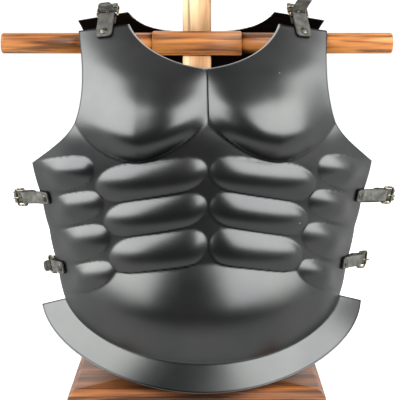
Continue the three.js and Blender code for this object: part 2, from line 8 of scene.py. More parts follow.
# %% Load the frame
import math
from collections import namedtuple
import bmesh
import bpy
import numpy as np
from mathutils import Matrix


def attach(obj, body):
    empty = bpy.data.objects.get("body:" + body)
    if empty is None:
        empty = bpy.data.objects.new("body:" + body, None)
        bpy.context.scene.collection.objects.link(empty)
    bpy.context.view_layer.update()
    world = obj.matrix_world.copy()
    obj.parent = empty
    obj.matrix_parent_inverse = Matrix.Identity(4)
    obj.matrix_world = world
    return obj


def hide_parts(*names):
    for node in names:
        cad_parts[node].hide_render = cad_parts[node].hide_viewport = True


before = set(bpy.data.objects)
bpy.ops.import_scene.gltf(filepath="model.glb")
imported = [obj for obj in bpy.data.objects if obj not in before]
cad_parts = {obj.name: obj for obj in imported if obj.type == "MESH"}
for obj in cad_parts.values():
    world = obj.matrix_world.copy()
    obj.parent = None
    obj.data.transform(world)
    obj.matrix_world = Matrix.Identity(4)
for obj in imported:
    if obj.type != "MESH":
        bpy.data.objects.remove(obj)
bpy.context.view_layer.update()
MM = 0.001

# %% [markdown]
# ## Camera
# A worn piece is usually shown from the height of its upper half with a long lens, which
# keeps its shoulders and its flange in proportion. The camera stands straight in front of
# the stand and looks down by nine degrees. Its place is worked out from that angle and a
# distance, so a closer or higher view needs only one number.

# %% Camera
CAMERA_RISE = math.radians(9.0)
CAMERA_DISTANCE = 1.6
LOOK_AT = np.array([0.004, 0.0, 0.2537])
LENS_MM = 107.6
SENSOR_MM = 36.0

camera_data = bpy.data.cameras.new("camera")
camera_data.lens = LENS_MM
camera_data.sensor_width = SENSOR_MM
camera = bpy.data.objects.new("camera", camera_data)
away = np.array([0.0, -math.cos(CAMERA_RISE), math.sin(CAMERA_RISE)])
camera.location = LOOK_AT + CAMERA_DISTANCE * away
camera.rotation_euler = (math.pi / 2 - CAMERA_RISE, 0.0, 0.0)
bpy.context.collection.objects.link(camera)
bpy.context.scene.camera = camera
print("camera at", [round(v, 3) for v in camera.location])

# %% [markdown]
# ## Making a mesh from whole arrays
# Every new piece below is a formula over two parameters. The helpers turn such a grid of
# points into faces without touching single vertices. They weld seams where two grids
# share an edge, turn the closed shell outwards, and measure its volume, because a volume
# above nought shows that the faces look out.

# %% Mesh helpers
WELD_DISTANCE = 2e-6  # metres
SLIVER = 1e-7  # metres; shorter edges are dissolved


def grid_faces(rows, columns, wrap_rows=False, wrap_columns=False):
    """Quads of a grid: each joins a point to its next in the row and in the column."""
    r = np.arange(rows if wrap_rows else rows - 1)[:, None]
    c = np.arange(columns if wrap_columns else columns - 1)[None, :]
    r2, c2 = (r + 1) % rows, (c + 1) % columns
    quads = [r * columns + c, r * columns + c2, r2 * columns + c2, r2 * columns + c]
    return np.stack([np.broadcast_to(q, (r.size, c.size)).ravel() for q in quads], axis=1)


def shell(name, patches, attributes=()):
    """Welds patches of (points in mm, faces, {attribute: values}) into one closed piece."""
    points, faces, offset = [], [], 0
    values = {key: [] for key in attributes}
    for patch_points, patch_faces, patch_values in patches:
        flat = patch_points.reshape(-1, 3)
        points.append(flat)
        faces.append(patch_faces + offset)
        offset += len(flat)
        for key in attributes:
            values[key].append(np.broadcast_to(np.ravel(patch_values[key]), len(flat)))
    points = np.concatenate(points) * MM
    faces = np.concatenate(faces)
    mesh = bpy.data.meshes.new(name)
    mesh.vertices.add(len(points))
    mesh.vertices.foreach_set("co", points.astype(np.float32).ravel())
    mesh.loops.add(faces.size)
    mesh.loops.foreach_set("vertex_index", faces.astype(np.int32).ravel())
    mesh.polygons.add(len(faces))
    mesh.polygons.foreach_set("loop_start", np.arange(0, faces.size, 4, dtype=np.int32))
    for key in attributes:
        layer = mesh.attributes.new(key, "FLOAT", "POINT")
        layer.data.foreach_set("value", np.concatenate(values[key]).astype(np.float32))
    mesh.update(calc_edges=True)
    mesh.validate()
    return weld(name, mesh)


def weld(name, mesh):
    """Merges points within two micrometres and turns the closed shell's faces outwards."""
    work = bmesh.new()
    work.from_mesh(mesh)
    bmesh.ops.remove_doubles(work, verts=work.verts, dist=WELD_DISTANCE)
    bmesh.ops.dissolve_degenerate(work, edges=work.edges, dist=SLIVER)
    bmesh.ops.recalc_face_normals(work, faces=work.faces)
    if work.calc_volume(signed=True) < 0:
        bmesh.ops.reverse_faces(work, faces=work.faces)
    open_edges = sum(1 for edge in work.edges if not edge.is_manifold)
    volume = work.calc_volume(signed=True) * 1e6
    work.to_mesh(mesh)
    work.free()
    mesh.polygons.foreach_set("use_smooth", np.ones(len(mesh.polygons), dtype=bool))
    mesh.update()
    piece = bpy.data.objects.new(name, mesh)
    bpy.context.collection.objects.link(piece)
    print(f"{name}: {len(mesh.polygons)} faces, {volume:.1f} cm3, {open_edges} open edges")
    return piece


def cap_fan(ring):
    """A ring of points closed by a fan of thin quads that end in its middle."""
    points = np.stack([ring, np.broadcast_to(ring.mean(axis=0), ring.shape)])
    return points, grid_faces(2, len(ring), wrap_columns=True)


def stacked(rings, sides=None, ends=None):
    """A closed skin through equal rings, with a fan over each end.

    The last two give the attribute values of the skin and of both fans."""
    rings = np.asarray(rings)
    return [(rings, grid_faces(*rings.shape[:2], wrap_columns=True), sides or {}),
            (*cap_fan(rings[0]), ends or {}), (*cap_fan(rings[-1]), ends or {})]


def run_along(points):
    """How far along the chain each of its points lies, from nought at the first."""
    steps = np.linalg.norm(np.diff(points, axis=0), axis=1)
    return np.concatenate([[0.0], np.cumsum(steps)])


def unit(vectors):
    """Vectors of length one."""
    return vectors / np.linalg.norm(vectors, axis=-1, keepdims=True)


def smooth_step(low, high, values):
    """Nought up to low, one from high on, and a cubic with level ends between them."""
    t = np.clip((values - low) / (high - low), 0.0, 1.0)
    return t * t * (3.0 - 2.0 * t)


def cubic(points, t):
    """Bezier curve: the four control points weighted by the cubic Bernstein terms of t."""
    a, b, c, d = (np.asarray(p, dtype=float) for p in points)
    t = np.asarray(t, dtype=float)[..., None]
    return a * (1 - t) ** 3 + 3 * b * t * (1 - t) ** 2 + 3 * c * t ** 2 * (1 - t) + d * t ** 3


# %% [markdown]
# ## The plates' plan
# A breastplate is cut flat and raised. Seen from the front it has an outline, and seen
# from above each height is nearly an arc. So the plan has two short tables. One gives the
# arc at each height by its half width, its side depth and its middle depth. The other
# gives the outline as three cubic curves up each side: the flank, the arm opening and the
# shoulder. These are the same sizes that the construction solids are made from.

# %% Where the cuirass stands
CUIRASS_SHIFT = np.array([7.5, 0.0, 1.2])  # millimetres, as is every size of a piece
CUIRASS_TURN = math.radians(2.8)


def placed(points, side=1.0):
    """Mirrors points for the left side, turns them about the upright and shifts them."""
    x, y, z = np.moveaxis(points * np.array([side, 1.0, 1.0]), -1, 0)
    cosine, sine = math.cos(CUIRASS_TURN), math.sin(CUIRASS_TURN)
    return np.stack([x * cosine - y * sine, x * sine + y * cosine, z], axis=-1) + CUIRASS_SHIFT


# %% Plate sizes in millimetres
STEEL_WALL = 1.6
SECTION_ANGLE = math.radians(60)

FRONT = {
    "facing": -1.0,
    "sections": np.array([  # height, half width, side depth, middle depth
        (40, 178, 22, 114), (100, 180, 22, 126), (130, 182, 22, 130), (165, 189, 20, 129),
        (220, 200, 18, 127), (265, 211, 18, 127), (306, 222, 18, 130), (350, 226, 14, 132),
        (390, 224, 10, 124), (430, 220, 2, 104), (460, 215, -8, 78), (490, 210, -20, 46),
    ], dtype=float),
    "bands": [  # rows, bow at both ends, inner curve, outer curve
        (104, (1, 1), [(0, 64), (0, 143), (0, 221), (0, 300)],
         [(184, 124), (192, 150), (202.5, 220), (224, 306)]),
        (58, (1, 0), [(0, 300), (0, 345), (0, 388), (0, 432.5)],
         [(224, 306), (177, 344), (154, 357), (154, 415)]),
        (30, (0, 0), [(0, 432.5), (40, 437), (82, 454), (96, 485.5)],
         [(154, 415), (154, 440), (158, 455), (160.5, 477)]),
    ],
    "flange": {"rows": 14, "out": (13, 36), "drop": (34, 11), "sweep": 54},
    "columns": 114,
}
BACK = {
    "facing": 1.0,
    "sections": np.array([
        (40, 170, 46, 104), (130, 176, 50, 106), (220, 192, 52, 110), (306, 208, 52, 124),
        (360, 208, 46, 130), (430, 204, 34, 116), (470, 198, 20, 76), (504, 192, 2, 38),
    ], dtype=float),
    "bands": [
        (60, (1, 1), [(0, 62), (0, 142), (0, 222), (0, 302)],
         [(174, 118), (182, 148), (192, 220), (208, 302)]),
        (36, (1, 0), [(0, 302), (0, 362), (0, 418), (0, 474)],
         [(208, 302), (165, 345), (150, 358), (150, 420)]),
        (24, (0, 0), [(0, 474), (45, 474), (82, 480), (97, 501)],
         [(150, 420), (150, 445), (151, 470), (163, 490)]),
    ],
    "flange": {"rows": 10, "out": (17, 16), "drop": (22, 12), "sweep": 0},
    "columns": 70,
}

# %% [markdown]
# ## Muscle relief
# The raised blocks are what makes this a muscle cuirass. Each block is a cushion over a
# leaning oblong: steep where it leaves the sheet and crowned all the way across, as metal
# is when it is sunk from behind with a round hammer. A table of heights at both ends of
# each block's top and bottom edges is enough, and one formula does the modelling. A
# sculpted mesh would also work, but then no size could be changed afterwards.

# %% Relief sizes in millimetres
BLOCK_RISE = 7.5
BLOCK_END_POWERS = 5, 4  # the higher, the blunter a block's inner and outer end
CALM_REACH = 2, 40  # the blocks fade towards the side edge, over this distance from it
CALM_LEFT = 0.15  # and keep this share of their rise
BLOCKS = [  # inner end, outer end, top in, top out, bottom in, bottom out
    (1, 139, 331, 309, 288, 261),
    (1, 129, 287, 262, 243, 218),
    (1, 123, 242, 217, 191, 170),
    (141, 260, 327, 302, 286, 249),
    (129, 260, 285, 247, 245, 199),
    (121, 260, 244, 197, 199, 143),
    (114, 260, 198, 141, 153, 95),
]
PILLOW_POWER = 2.4
PECTORAL = {"rise": 24.0, "x": 85.0, "reach": 91.0, "top": 386.0, "lowest": 318.0,
            "middle": 366.0, "inner_power": 1.5, "outer_power": 0.7, "ledge": 42.0, "groove": 70.0,
            "shoulder_fade": (360, 470), "arm_fade": (80, 165), "arm_loss": 0.9}
BELLY = {"rise": 16.0, "z": 116.0, "half_width": 185.0, "half_height": 76.0}
BLADE = {"rise": 9.0, "x": 88, "z": 378, "half_width": 78, "half_height": 92, "power": 1.3}
SPINE = {"depth": 5.0, "width": 13, "start": (110, 170), "stop": (400, 450)}
SEAT_RADIUS = 12.0

# %% Strap table in millimetres and degrees
# side is -1 or 1, and over says that the strap goes over the shoulder. x and z are the
# rivet on the front plate, back_x and back_z the one on the back plate. rest is how much
# lies flat beside each rivet, reach how far the tab goes from there to the buckle's bar,
# and flare the angle at which it leaves the plate. bend is how far the billet runs
# straight on before it curves, width is the tab's, and free is how far the billet's free
# end stands out.
Strap = namedtuple("Strap", "side over x z back_x back_z rest reach flare bend width free")
STRAPS = {
    "shoulder_left": Strap(-1, True, 127, 475, 130, 484, 17, 11, 0, 14, 22, 12),
    "shoulder_right": Strap(1, True, 127, 475, 130, 484, 17, 11, 0, 14, 21, 27),
    "side_upper_left": Strap(-1, False, 206, 261, 194, 252, 9, 36, 20, 24, 17, 0),
    "side_upper_right": Strap(1, False, 206, 261, 194, 250, 9, 50, 25, 26, 17, 0),
    "side_lower_left": Strap(-1, False, 187, 168, 176, 165, 9, 14, 0, 20, 17, 9),
    "side_lower_right": Strap(1, False, 188, 170, 176, 160, 9, 34, 20, 24, 17, 0),
}
print("straps:", ", ".join(STRAPS))


# %% Relief formulas
def pillow(distance, width):
    """Height share: one less a power of what is left of the width."""
    return 1.0 - (1.0 - np.clip(distance / width, 0.0, 1.0)) ** PILLOW_POWER


def block_dome(block, x, z):
    """A cushion over a leaning rounded oblong, crowned all the way from edge to edge.

    What is left of one, less the square across and a high power along."""
    inner, outer, top_in, top_out, low_in, low_out = block
    share = (x - inner) / (outer - inner)
    top = top_in + (top_out - top_in) * share
    low = low_in + (low_out - low_in) * share
    across = (2 * z - top - low) / (top - low)
    along = 2 * share - 1
    power = np.where(along < 0, *BLOCK_END_POWERS)
    return np.maximum(0.0, 1 - across ** 2 - np.abs(along) ** power)


def pectoral_foot(x):
    """Lower edge: a power curve up to the centre line, an oval up to the arm."""
    inward = np.maximum(0.0, 1 - x / PECTORAL["x"]) ** PECTORAL["inner_power"]
    outward = np.clip((x - PECTORAL["x"]) / PECTORAL["reach"], 0.0, 1.0)
    oval = 1 - (1 - outward ** 2) ** PECTORAL["outer_power"]
    lowest = PECTORAL["lowest"]
    return (lowest + (PECTORAL["middle"] - lowest) * inward
            + (PECTORAL["top"] - lowest) * oval)


def pectoral_rise(x, z):
    """A ledge above the foot, a crease down the centre, a fade to shoulder and arm."""
    ledge = pillow(z - pectoral_foot(x), PECTORAL["ledge"])
    groove = pillow(x, PECTORAL["groove"])
    fade = 1.0 - smooth_step(*PECTORAL["shoulder_fade"], z)
    fade = fade * (1.0 - PECTORAL["arm_loss"] * smooth_step(*PECTORAL["arm_fade"], x))
    return PECTORAL["rise"] * ledge * groove * fade


def belly_rise(x, z):
    """A broad oval dome from the lowest blocks to the fold."""
    radius = np.hypot(x / BELLY["half_width"], (z - BELLY["z"]) / BELLY["half_height"])
    return BELLY["rise"] * np.maximum(0.0, 1.0 - radius ** 2)


def seat_share(x, z):
    """Falls to nought round each strap's root, where the leather lies flat."""
    share = np.ones_like(x)
    for strap in STRAPS.values():
        reach = ((x - strap.x) ** 2 + (z - strap.z) ** 2) / (2 * SEAT_RADIUS ** 2)
        share = np.minimum(share, 1.0 - np.exp(-reach))
    return share


def front_relief(x, z):
    """The higher of the blocks, calmer towards the side edge, and the belly; then pectorals."""
    half = section_values(FRONT, z)[0]
    calm = CALM_LEFT + (1 - CALM_LEFT) * smooth_step(*CALM_REACH, half - x)
    blocks = np.max([block_dome(block, x, z) for block in BLOCKS], axis=0)
    rise = np.maximum(blocks * BLOCK_RISE * calm, belly_rise(x, z)) + pectoral_rise(x, z)
    return rise * seat_share(x, z)


def back_relief(x, z):
    """Two shallow shoulder blades and a groove along the spine."""
    radius = np.hypot((x - BLADE["x"]) / BLADE["half_width"], (z - BLADE["z"]) / BLADE["half_height"])
    blade = np.maximum(0.0, 1.0 - radius ** 2) ** BLADE["power"]
    length = smooth_step(*SPINE["start"], z) * (1 - smooth_step(*SPINE["stop"], z))
    spine = np.exp(-((x / SPINE["width"]) ** 2)) * length
    return BLADE["rise"] * blade - SPINE["depth"] * spine


# %% [markdown]
# ## From plan to surface
# The arc tables are blended over a few centimetres of height, because polished steel
# shows every kink in a profile as a line in its reflection. A row of the surface runs
# from the centre line or neckline out to the flank, arm or shoulder. The rows bow down
# towards the middle near the flange, where the sheet was turned out.

# %% Surface sizes in millimetres
PLAN_HEIGHT = 560.0
BLEND_HEIGHT = 43
FOLD_REACH, FOLD_POWER = 0.985, 0.6  # how far round its quarter oval the fold goes


# %% Surface formulas
def smooth_sections(plate):
    """The section table at every millimetre, averaged over a raised-cosine window."""
    table = plate["sections"]
    heights = np.arange(0.0, PLAN_HEIGHT)
    window = np.hanning(BLEND_HEIGHT)
    window /= window.sum()
    columns = []
    for column in range(1, 4):
        sizes = np.pad(np.interp(heights, table[:, 0], table[:, column]), BLEND_HEIGHT // 2, mode="edge")
        columns.append(np.convolve(sizes, window, mode="valid"))
    return heights, columns


for plate_plan in (FRONT, BACK):
    plate_plan["smooth"] = smooth_sections(plate_plan)


def section_values(plate, z):
    """Half width, side depth and middle depth at height z."""
    heights, columns = plate["smooth"]
    return [np.interp(z, heights, column) for column in columns]


def wall_points(plate, x, z, rise):
    """A point on the arc at height z, pushed out by rise along the arc's radius."""
    half, edge, middle = section_values(plate, z)
    bulge = middle - edge
    radius = (half ** 2 + bulge ** 2) / (2 * bulge)
    slope = np.sqrt(1.0 - (x / radius) ** 2)
    depth = middle - radius + radius * slope
    outward = np.stack([x / radius, plate["facing"] * slope, np.zeros_like(x)], axis=-1)
    base = np.stack([x, plate["facing"] * depth, z], axis=-1)
    return base + outward * rise[..., None], outward


def fold_curve(across):
    """A quarter oval, level in the middle and steep at the side."""
    whole = 1 - (1 - FOLD_REACH ** 2) ** FOLD_POWER
    return (1 - (1 - (across * FOLD_REACH) ** 2) ** FOLD_POWER) / whole


def plate_rows(plate, relief):
    """Outer-face points of one half, rows from the flange's edge up to the shoulder.

    Each row runs from an inner curve to an outer one. The flange goes on from the lowest
    row, outwards and down, and the plan above it is kept for the grooves."""
    s = np.linspace(0.0, 1.0, plate["columns"] + 1)
    across = np.sin(s * SECTION_ANGLE) / math.sin(SECTION_ANGLE)
    xs, zs = [], []
    for index, (rows, bow, inner, outer) in enumerate(plate["bands"]):
        t = np.linspace(0.0, 1.0, rows + 1)[(0 if index == 0 else 1):]
        start, end = cubic(inner, t), cubic(outer, t)
        curved = (bow[0] + (bow[1] - bow[0]) * t)[:, None]
        climb = across * (1 - curved) + fold_curve(across) * curved
        xs.append(start[:, :1] + (end[:, :1] - start[:, :1]) * across)
        zs.append(start[:, 1:] + (end[:, 1:] - start[:, 1:]) * climb)
    x, z = plate["plan"] = np.concatenate(xs), np.concatenate(zs)
    body, outward = wall_points(plate, x, z, relief(x, z))
    flange = plate["flange"]
    k = np.linspace(1.0, 0.0, flange["rows"] + 1)[:-1, None]
    out = flange["out"][0] + (flange["out"][1] - flange["out"][0]) * s ** 2
    drop = flange["drop"][0] + (flange["drop"][1] - flange["drop"][0]) * s ** 2
    sweep = np.radians(flange["sweep"]) * s ** 2
    aim = np.arctan2(outward[0, :, 0], outward[0, :, 1] * plate["facing"]) + sweep
    aside = np.stack([np.sin(aim), plate["facing"] * np.cos(aim), np.zeros_like(aim)], axis=-1)
    skirt = body[:1] + aside * (out * k)[..., None]
    skirt[..., 2] -= drop * k
    points = np.concatenate([skirt, body])
    neck_row = len(points) - 1 - plate["bands"][-1][0]
    return points, neck_row


def grid_normals(points, facing, neck_row):
    """Cross product of the differences along and up the grid, facing away from the body."""
    along = np.gradient(points, axis=1)
    up = np.gradient(points, axis=0)
    normals = unit(np.cross(along, up)) * -facing
    normals[: neck_row + 1, 0, 0] = 0.0
    return unit(normals)


# %% [markdown]
# ## Giving the sheet its thickness
# The edge of a plate is filed round, and it is the brightest line on the whole piece. So
# the wall is an outer face, an inner face one wall thickness in, and a half-round rim
# that follows the free edge from the centre of the flange up the flank, round the arm and
# shoulder and down the neckline. The other half is the mirror image, welded down the
# middle. Four attributes go with the points, and the finish reads them: how near the rim
# they are, where it paints shade; how much rubbed bare steel and painted highlight the rim
# gets; whether they are on the inside; and how deep they lie in a groove, where it paints shade.

# %% Rim and groove sizes
# how much of each stretch of rim is painted pale, as rubbed bare steel and painted highlight
RUBBED_AND_HIGHLIGHT_EDGES = (0.35, 0.0, 0.3, 1.0)  # flange, flank, shoulder, neck
EDGE_FADE = 2.0
EDGE_CHUNK = 64  # edge points measured at a time, to spare memory
GROOVE_RINGS = (1.6, 0.5), (4.5, 2.2)  # radius, and the depth there that counts as full
RIM_STEPS = 7


# %% Plate shell


def edge_chain(points, neck_row):
    """Indices of the free edge of one half, in order, with the way out of the sheet.

    The last array says how much rubbed bare steel and painted highlight each of its four stretches gets."""
    last_row, last_column = points.shape[0] - 1, points.shape[1] - 1
    bottom = [(0, i) for i in range(last_column)]
    flank = [(j, last_column) for j in range(last_row)]
    top = [(last_row, i) for i in range(last_column, 0, -1)]
    neck = [(j, 0) for j in range(last_row, neck_row - 1, -1)]
    chain = np.array(bottom + flank + top + neck)
    ends = np.cumsum([0, len(bottom), len(flank), len(top)])
    along, up = np.gradient(points, axis=1), np.gradient(points, axis=0)
    rows, columns = chain.T
    outward = np.empty((len(chain), 3))
    outward[ends[0]:ends[1]] = -up[rows, columns][ends[0]:ends[1]]
    outward[ends[1]:ends[2]] = along[rows, columns][ends[1]:ends[2]]
    outward[ends[2]:ends[3]] = up[rows, columns][ends[2]:ends[3]]
    outward[ends[3]:] = -along[rows, columns][ends[3]:]
    outward = unit(outward)
    for corner in ends[1:]:
        outward[corner] = outward[corner - 1] + outward[corner]
    outward[[0, -1], 0] = 0.0
    rubbed_and_highlight = np.repeat(RUBBED_AND_HIGHLIGHT_EDGES, [len(bottom), len(flank), len(top), len(neck)])
    return rows, columns, outward, rubbed_and_highlight


def edge_nearness(points, rows, columns, rubbed_and_highlight):
    """Nearness to the free edge, and its share of rubbed bare steel and painted highlight: both fall away
    exponentially.
    """
    edge = points[rows, columns]
    flat = points.reshape(-1, 3)
    near, rubbed_and_highlight_share = np.zeros(len(flat)), np.zeros(len(flat))
    for start in range(0, len(edge), EDGE_CHUNK):
        chunk = slice(start, start + EDGE_CHUNK)
        gap = np.linalg.norm(flat[:, None] - edge[None, chunk], axis=2)
        close = np.exp(-gap / EDGE_FADE)
        near = np.maximum(near, close.max(axis=1))
        rubbed_and_highlight_share = np.maximum(rubbed_and_highlight_share, (close * rubbed_and_highlight[chunk]).max(axis=1))
    return near, rubbed_and_highlight_share


def groove_depth(plate, relief):
    """How far a point lies below the mean of eight points round it, at two radii."""
    x, z = plate["plan"]
    around = np.radians(np.arange(0.0, 360.0, 45.0))
    here = relief(x, z)
    depth = np.zeros_like(here)
    for radius, full in GROOVE_RINGS:
        ring = [relief(np.abs(x + radius * math.cos(a)), z + radius * math.sin(a)) for a in around]
        depth = np.maximum(depth, np.clip((np.mean(ring, axis=0) - here) / full, 0.0, 1.0))
    skirt = np.zeros((plate["flange"]["rows"], x.shape[1]))
    return np.concatenate([skirt, depth]).ravel()


def build_plate(name, plate, relief):
    """Outer face, inner face and half-round rim of both halves, welded into one shell."""
    points, neck_row = plate_rows(plate, relief)
    normals = grid_normals(points, plate["facing"], neck_row)
    inner = points - normals * STEEL_WALL
    rows, columns, outward, rubbed_and_highlight = edge_chain(points, neck_row)
    edge_normals = normals[rows, columns]
    outward -= edge_normals * np.sum(outward * edge_normals, axis=1, keepdims=True)
    outward = unit(outward)
    turn = np.linspace(0.0, math.pi, RIM_STEPS)[:, None, None]
    middle = (points[rows, columns] + inner[rows, columns]) / 2
    rim = middle + STEEL_WALL / 2 * (np.cos(turn) * edge_normals + np.sin(turn) * outward)
    rim[0], rim[-1] = points[rows, columns], inner[rows, columns]
    near, rubbed_and_highlight_share = edge_nearness(points, rows, columns, rubbed_and_highlight)
    groove = groove_depth(plate, relief)
    faces = grid_faces(*points.shape[:2])
    patches = []
    for side in (1.0, -1.0):
        patches += [
            (placed(points, side), faces,
             {"edge": near, "rubbed_and_highlight": rubbed_and_highlight_share, "inside": 0.0, "groove": groove}),
            (placed(inner, side), faces,
             {"edge": near, "rubbed_and_highlight": rubbed_and_highlight_share, "inside": 1.0, "groove": 0.0}),
            (placed(rim, side), grid_faces(*rim.shape[:2]),
             {"edge": 1.0, "rubbed_and_highlight": np.tile(rubbed_and_highlight, (len(rim), 1)), "inside": 0.0, "groove": 0.0}),
        ]
    piece = shell(name, patches, ("edge", "rubbed_and_highlight", "inside", "groove"))
    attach(piece, "root")
    return piece


front_plate = build_plate("front_plate_raised", FRONT, front_relief)
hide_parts("front_plate")
back_plate = build_plate("back_plate_raised", BACK, back_relief)
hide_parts("back_plate")

# %% [markdown]
# ## Where each strap runs
# A side strap is riveted near the front plate's edge, runs out to a buckle, and comes
# back from the buckle to the back plate. Its leather is stiff, so it leaves the plate
# along the surface and bows. The anchor takes its directions from the plate itself, so
# the strap lies true on a curved surface. Two curves make each set: the tab up to the
# buckle's bar, and the billet from the buckle's far side to the back.

# %% Strap sizes in millimetres
LEATHER_WALL = 2.2
SEAT_GAP = 1.1
GAP = 0.3
STRAP_FALL = 0.12
BUCKLE_WIRE = 3.0
FRAME_LENGTH = 15.0
FRAME_MARGIN = 1.2
ROOT_LENGTH = 8.0
HEM_LENGTH = 10.0
BAR_SINK = 0.75 * BUCKLE_WIRE + GAP + LEATHER_WALL / 2
RETURN_SINK = 2 * BAR_SINK
BILLET_SINK = RETURN_SINK + LEATHER_WALL + 0.8
CURVE_STEPS = 400
SLOPE_STEP = 1e-3  # share of a curve on each side of the point whose direction is wanted


# %% Strap anchors and curves
def anchor(plate, relief, x, z, over, rest):
    """Position and directions of a strap where it is riveted to a plate."""
    def at(dx, dz):
        xs, zs = np.array([float(x + dx)]), np.array([float(z + dz)])
        return wall_points(plate, xs, zs, relief(xs, zs))[0][0]
    across = unit(at(3, -3 * STRAP_FALL) - at(-3, 3 * STRAP_FALL))
    lean = unit(np.cross(across, at(0, 3) - at(0, -3))) * -plate["facing"]
    upward = unit(np.cross(across, lean))
    upward = upward * np.sign(upward[2])
    width, along = (across, upward) if over else (upward, across)
    centre = at(0, 0) + lean * (SEAT_GAP + LEATHER_WALL / 2)
    return {"centre": centre, "leave": centre + along * rest, "along": along,
            "width": width, "lean": lean}


def curve_frames(control, widths, outward, distances):
    """Centres, width and outward directions along a curve, straight on past both ends."""
    t = np.linspace(0.0, 1.0, CURVE_STEPS)
    run = run_along(cubic(control, t))
    inside = np.clip(distances, 0.0, run[-1])
    at = np.interp(inside, run, t)
    ahead, back = (cubic(control, np.clip(at + step, 0, 1)) for step in (SLOPE_STEP, -SLOPE_STEP))
    along = unit(ahead - back)
    centre = cubic(control, at) + along * (distances - inside)[:, None]
    share = (inside / run[-1])[:, None]
    width = widths[0] * (1 - share) + widths[1] * share
    width = unit(width - along * np.sum(width * along, axis=1, keepdims=True))
    return centre, width, np.cross(width, along) * outward


def strap_plan(name):
    """Both anchors, the bar's frame and the two curves of one strap set."""
    strap = STRAPS[name]
    start = anchor(FRONT, front_relief, strap.x, strap.z, strap.over, strap.rest)
    end = anchor(BACK, back_relief, strap.back_x, strap.back_z, strap.over, strap.rest)
    outward = np.sign(np.dot(np.cross(start["width"], start["along"]), start["lean"]))
    turn = math.radians(strap.flare)
    along = start["along"] * math.cos(turn) + start["lean"] * math.sin(turn)
    middle = start["leave"] + start["along"] * strap.reach / 2
    centre = middle + along * strap.reach / 2
    lean = np.cross(start["width"], along) * outward
    far = centre + along * (FRAME_LENGTH + BUCKLE_WIRE) - lean * BILLET_SINK
    pull = 2.0 / 3.0  # makes the cubic a plain parabola with its corner at the middle
    tab = [start["leave"], start["leave"] + (middle - start["leave"]) * pull,
           centre + (middle - centre) * pull, centre]
    billet = [far, far + along * strap.bend, end["leave"] + end["along"] * strap.bend, end["leave"]]
    return {"name": name, "side": strap.side, "rest": strap.rest, "width": strap.width,
            "free": strap.free, "start": start, "end": end, "outward": outward,
            "tab": tab, "billet": billet,
            "bar": {"centre": centre, "along": along, "width": start["width"], "lean": lean}}


PLANS = [strap_plan(name) for name in STRAPS]
print("bars at", {p["name"]: np.round(p["bar"]["centre"], 0).tolist() for p in PLANS})

# %% [markdown]
# ## Cutting the leather
# A strap is a profile carried along a path: a flat bar of leather with eased edges. At
# both ends the width shrinks along a quarter circle, which is how a strap end is
# punched. Straps are modelled directly, because they are too stiff to drape and must
# meet their rivets exactly. An attribute says how far out each point is, for the dyed
# edges.

# %% Leather sizes
EASE_SHARE = 0.42  # of the thickness
TIP_WIDTH = 0.55  # share of the width that is left at a tip


# %% Leather strips
def strap_profile(half_width, thickness):
    """Twenty points round a flat bar: a quarter circle at each of its corners."""
    ease = thickness * EASE_SHARE
    corner = np.linspace(0, math.pi / 2, 5)
    xs, ys = [], []
    for quarter, (sx, sy) in enumerate([(1, 1), (-1, 1), (-1, -1), (1, -1)]):
        angle = corner + quarter * math.pi / 2
        xs.append(sx * (1 - ease / half_width) + np.cos(angle) * ease / half_width)
        ys.append(sy * (thickness / 2 - ease) + np.sin(angle) * ease)
    return np.concatenate(xs), np.concatenate(ys)


def leather_strip(name, side, centre, width, lean, half):
    """Carries the bar profile along the stations and closes both ends with a fan."""
    xs, ys = strap_profile(half.max(), LEATHER_WALL)
    rings = (centre[:, None] + width[:, None] * (xs[None, :, None] * half[:, None, None])
             + lean[:, None] * ys[None, :, None])
    edge = np.tile(np.abs(xs), len(centre))
    piece = shell(name, stacked(placed(rings, side), {"edge": edge}, {"edge": 1.0}), ("edge",))
    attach(piece, "root")
    return piece


def end_rounding(distance, reach):
    """Share of the width at a distance from a strap's tip: a quarter circle."""
    arc = np.sqrt(1 - (1 - np.clip(distance / reach, 0.0, 1.0)) ** 2)
    return TIP_WIDTH + (1 - TIP_WIDTH) * arc


# %% [markdown]
# ## Tabs
# The tab is the short strap that holds the buckle. It lies on the plate, goes over the
# buckle's bar, turns round it and comes back underneath as a hem.

# %% Tabs
TIP_STATIONS = 8
TAB_STATIONS, WRAP_STATIONS, HEM_STATIONS = 26, 12, 6
TAB_TIP_SHARE = 0.5  # the tip's length, as a share of half the width


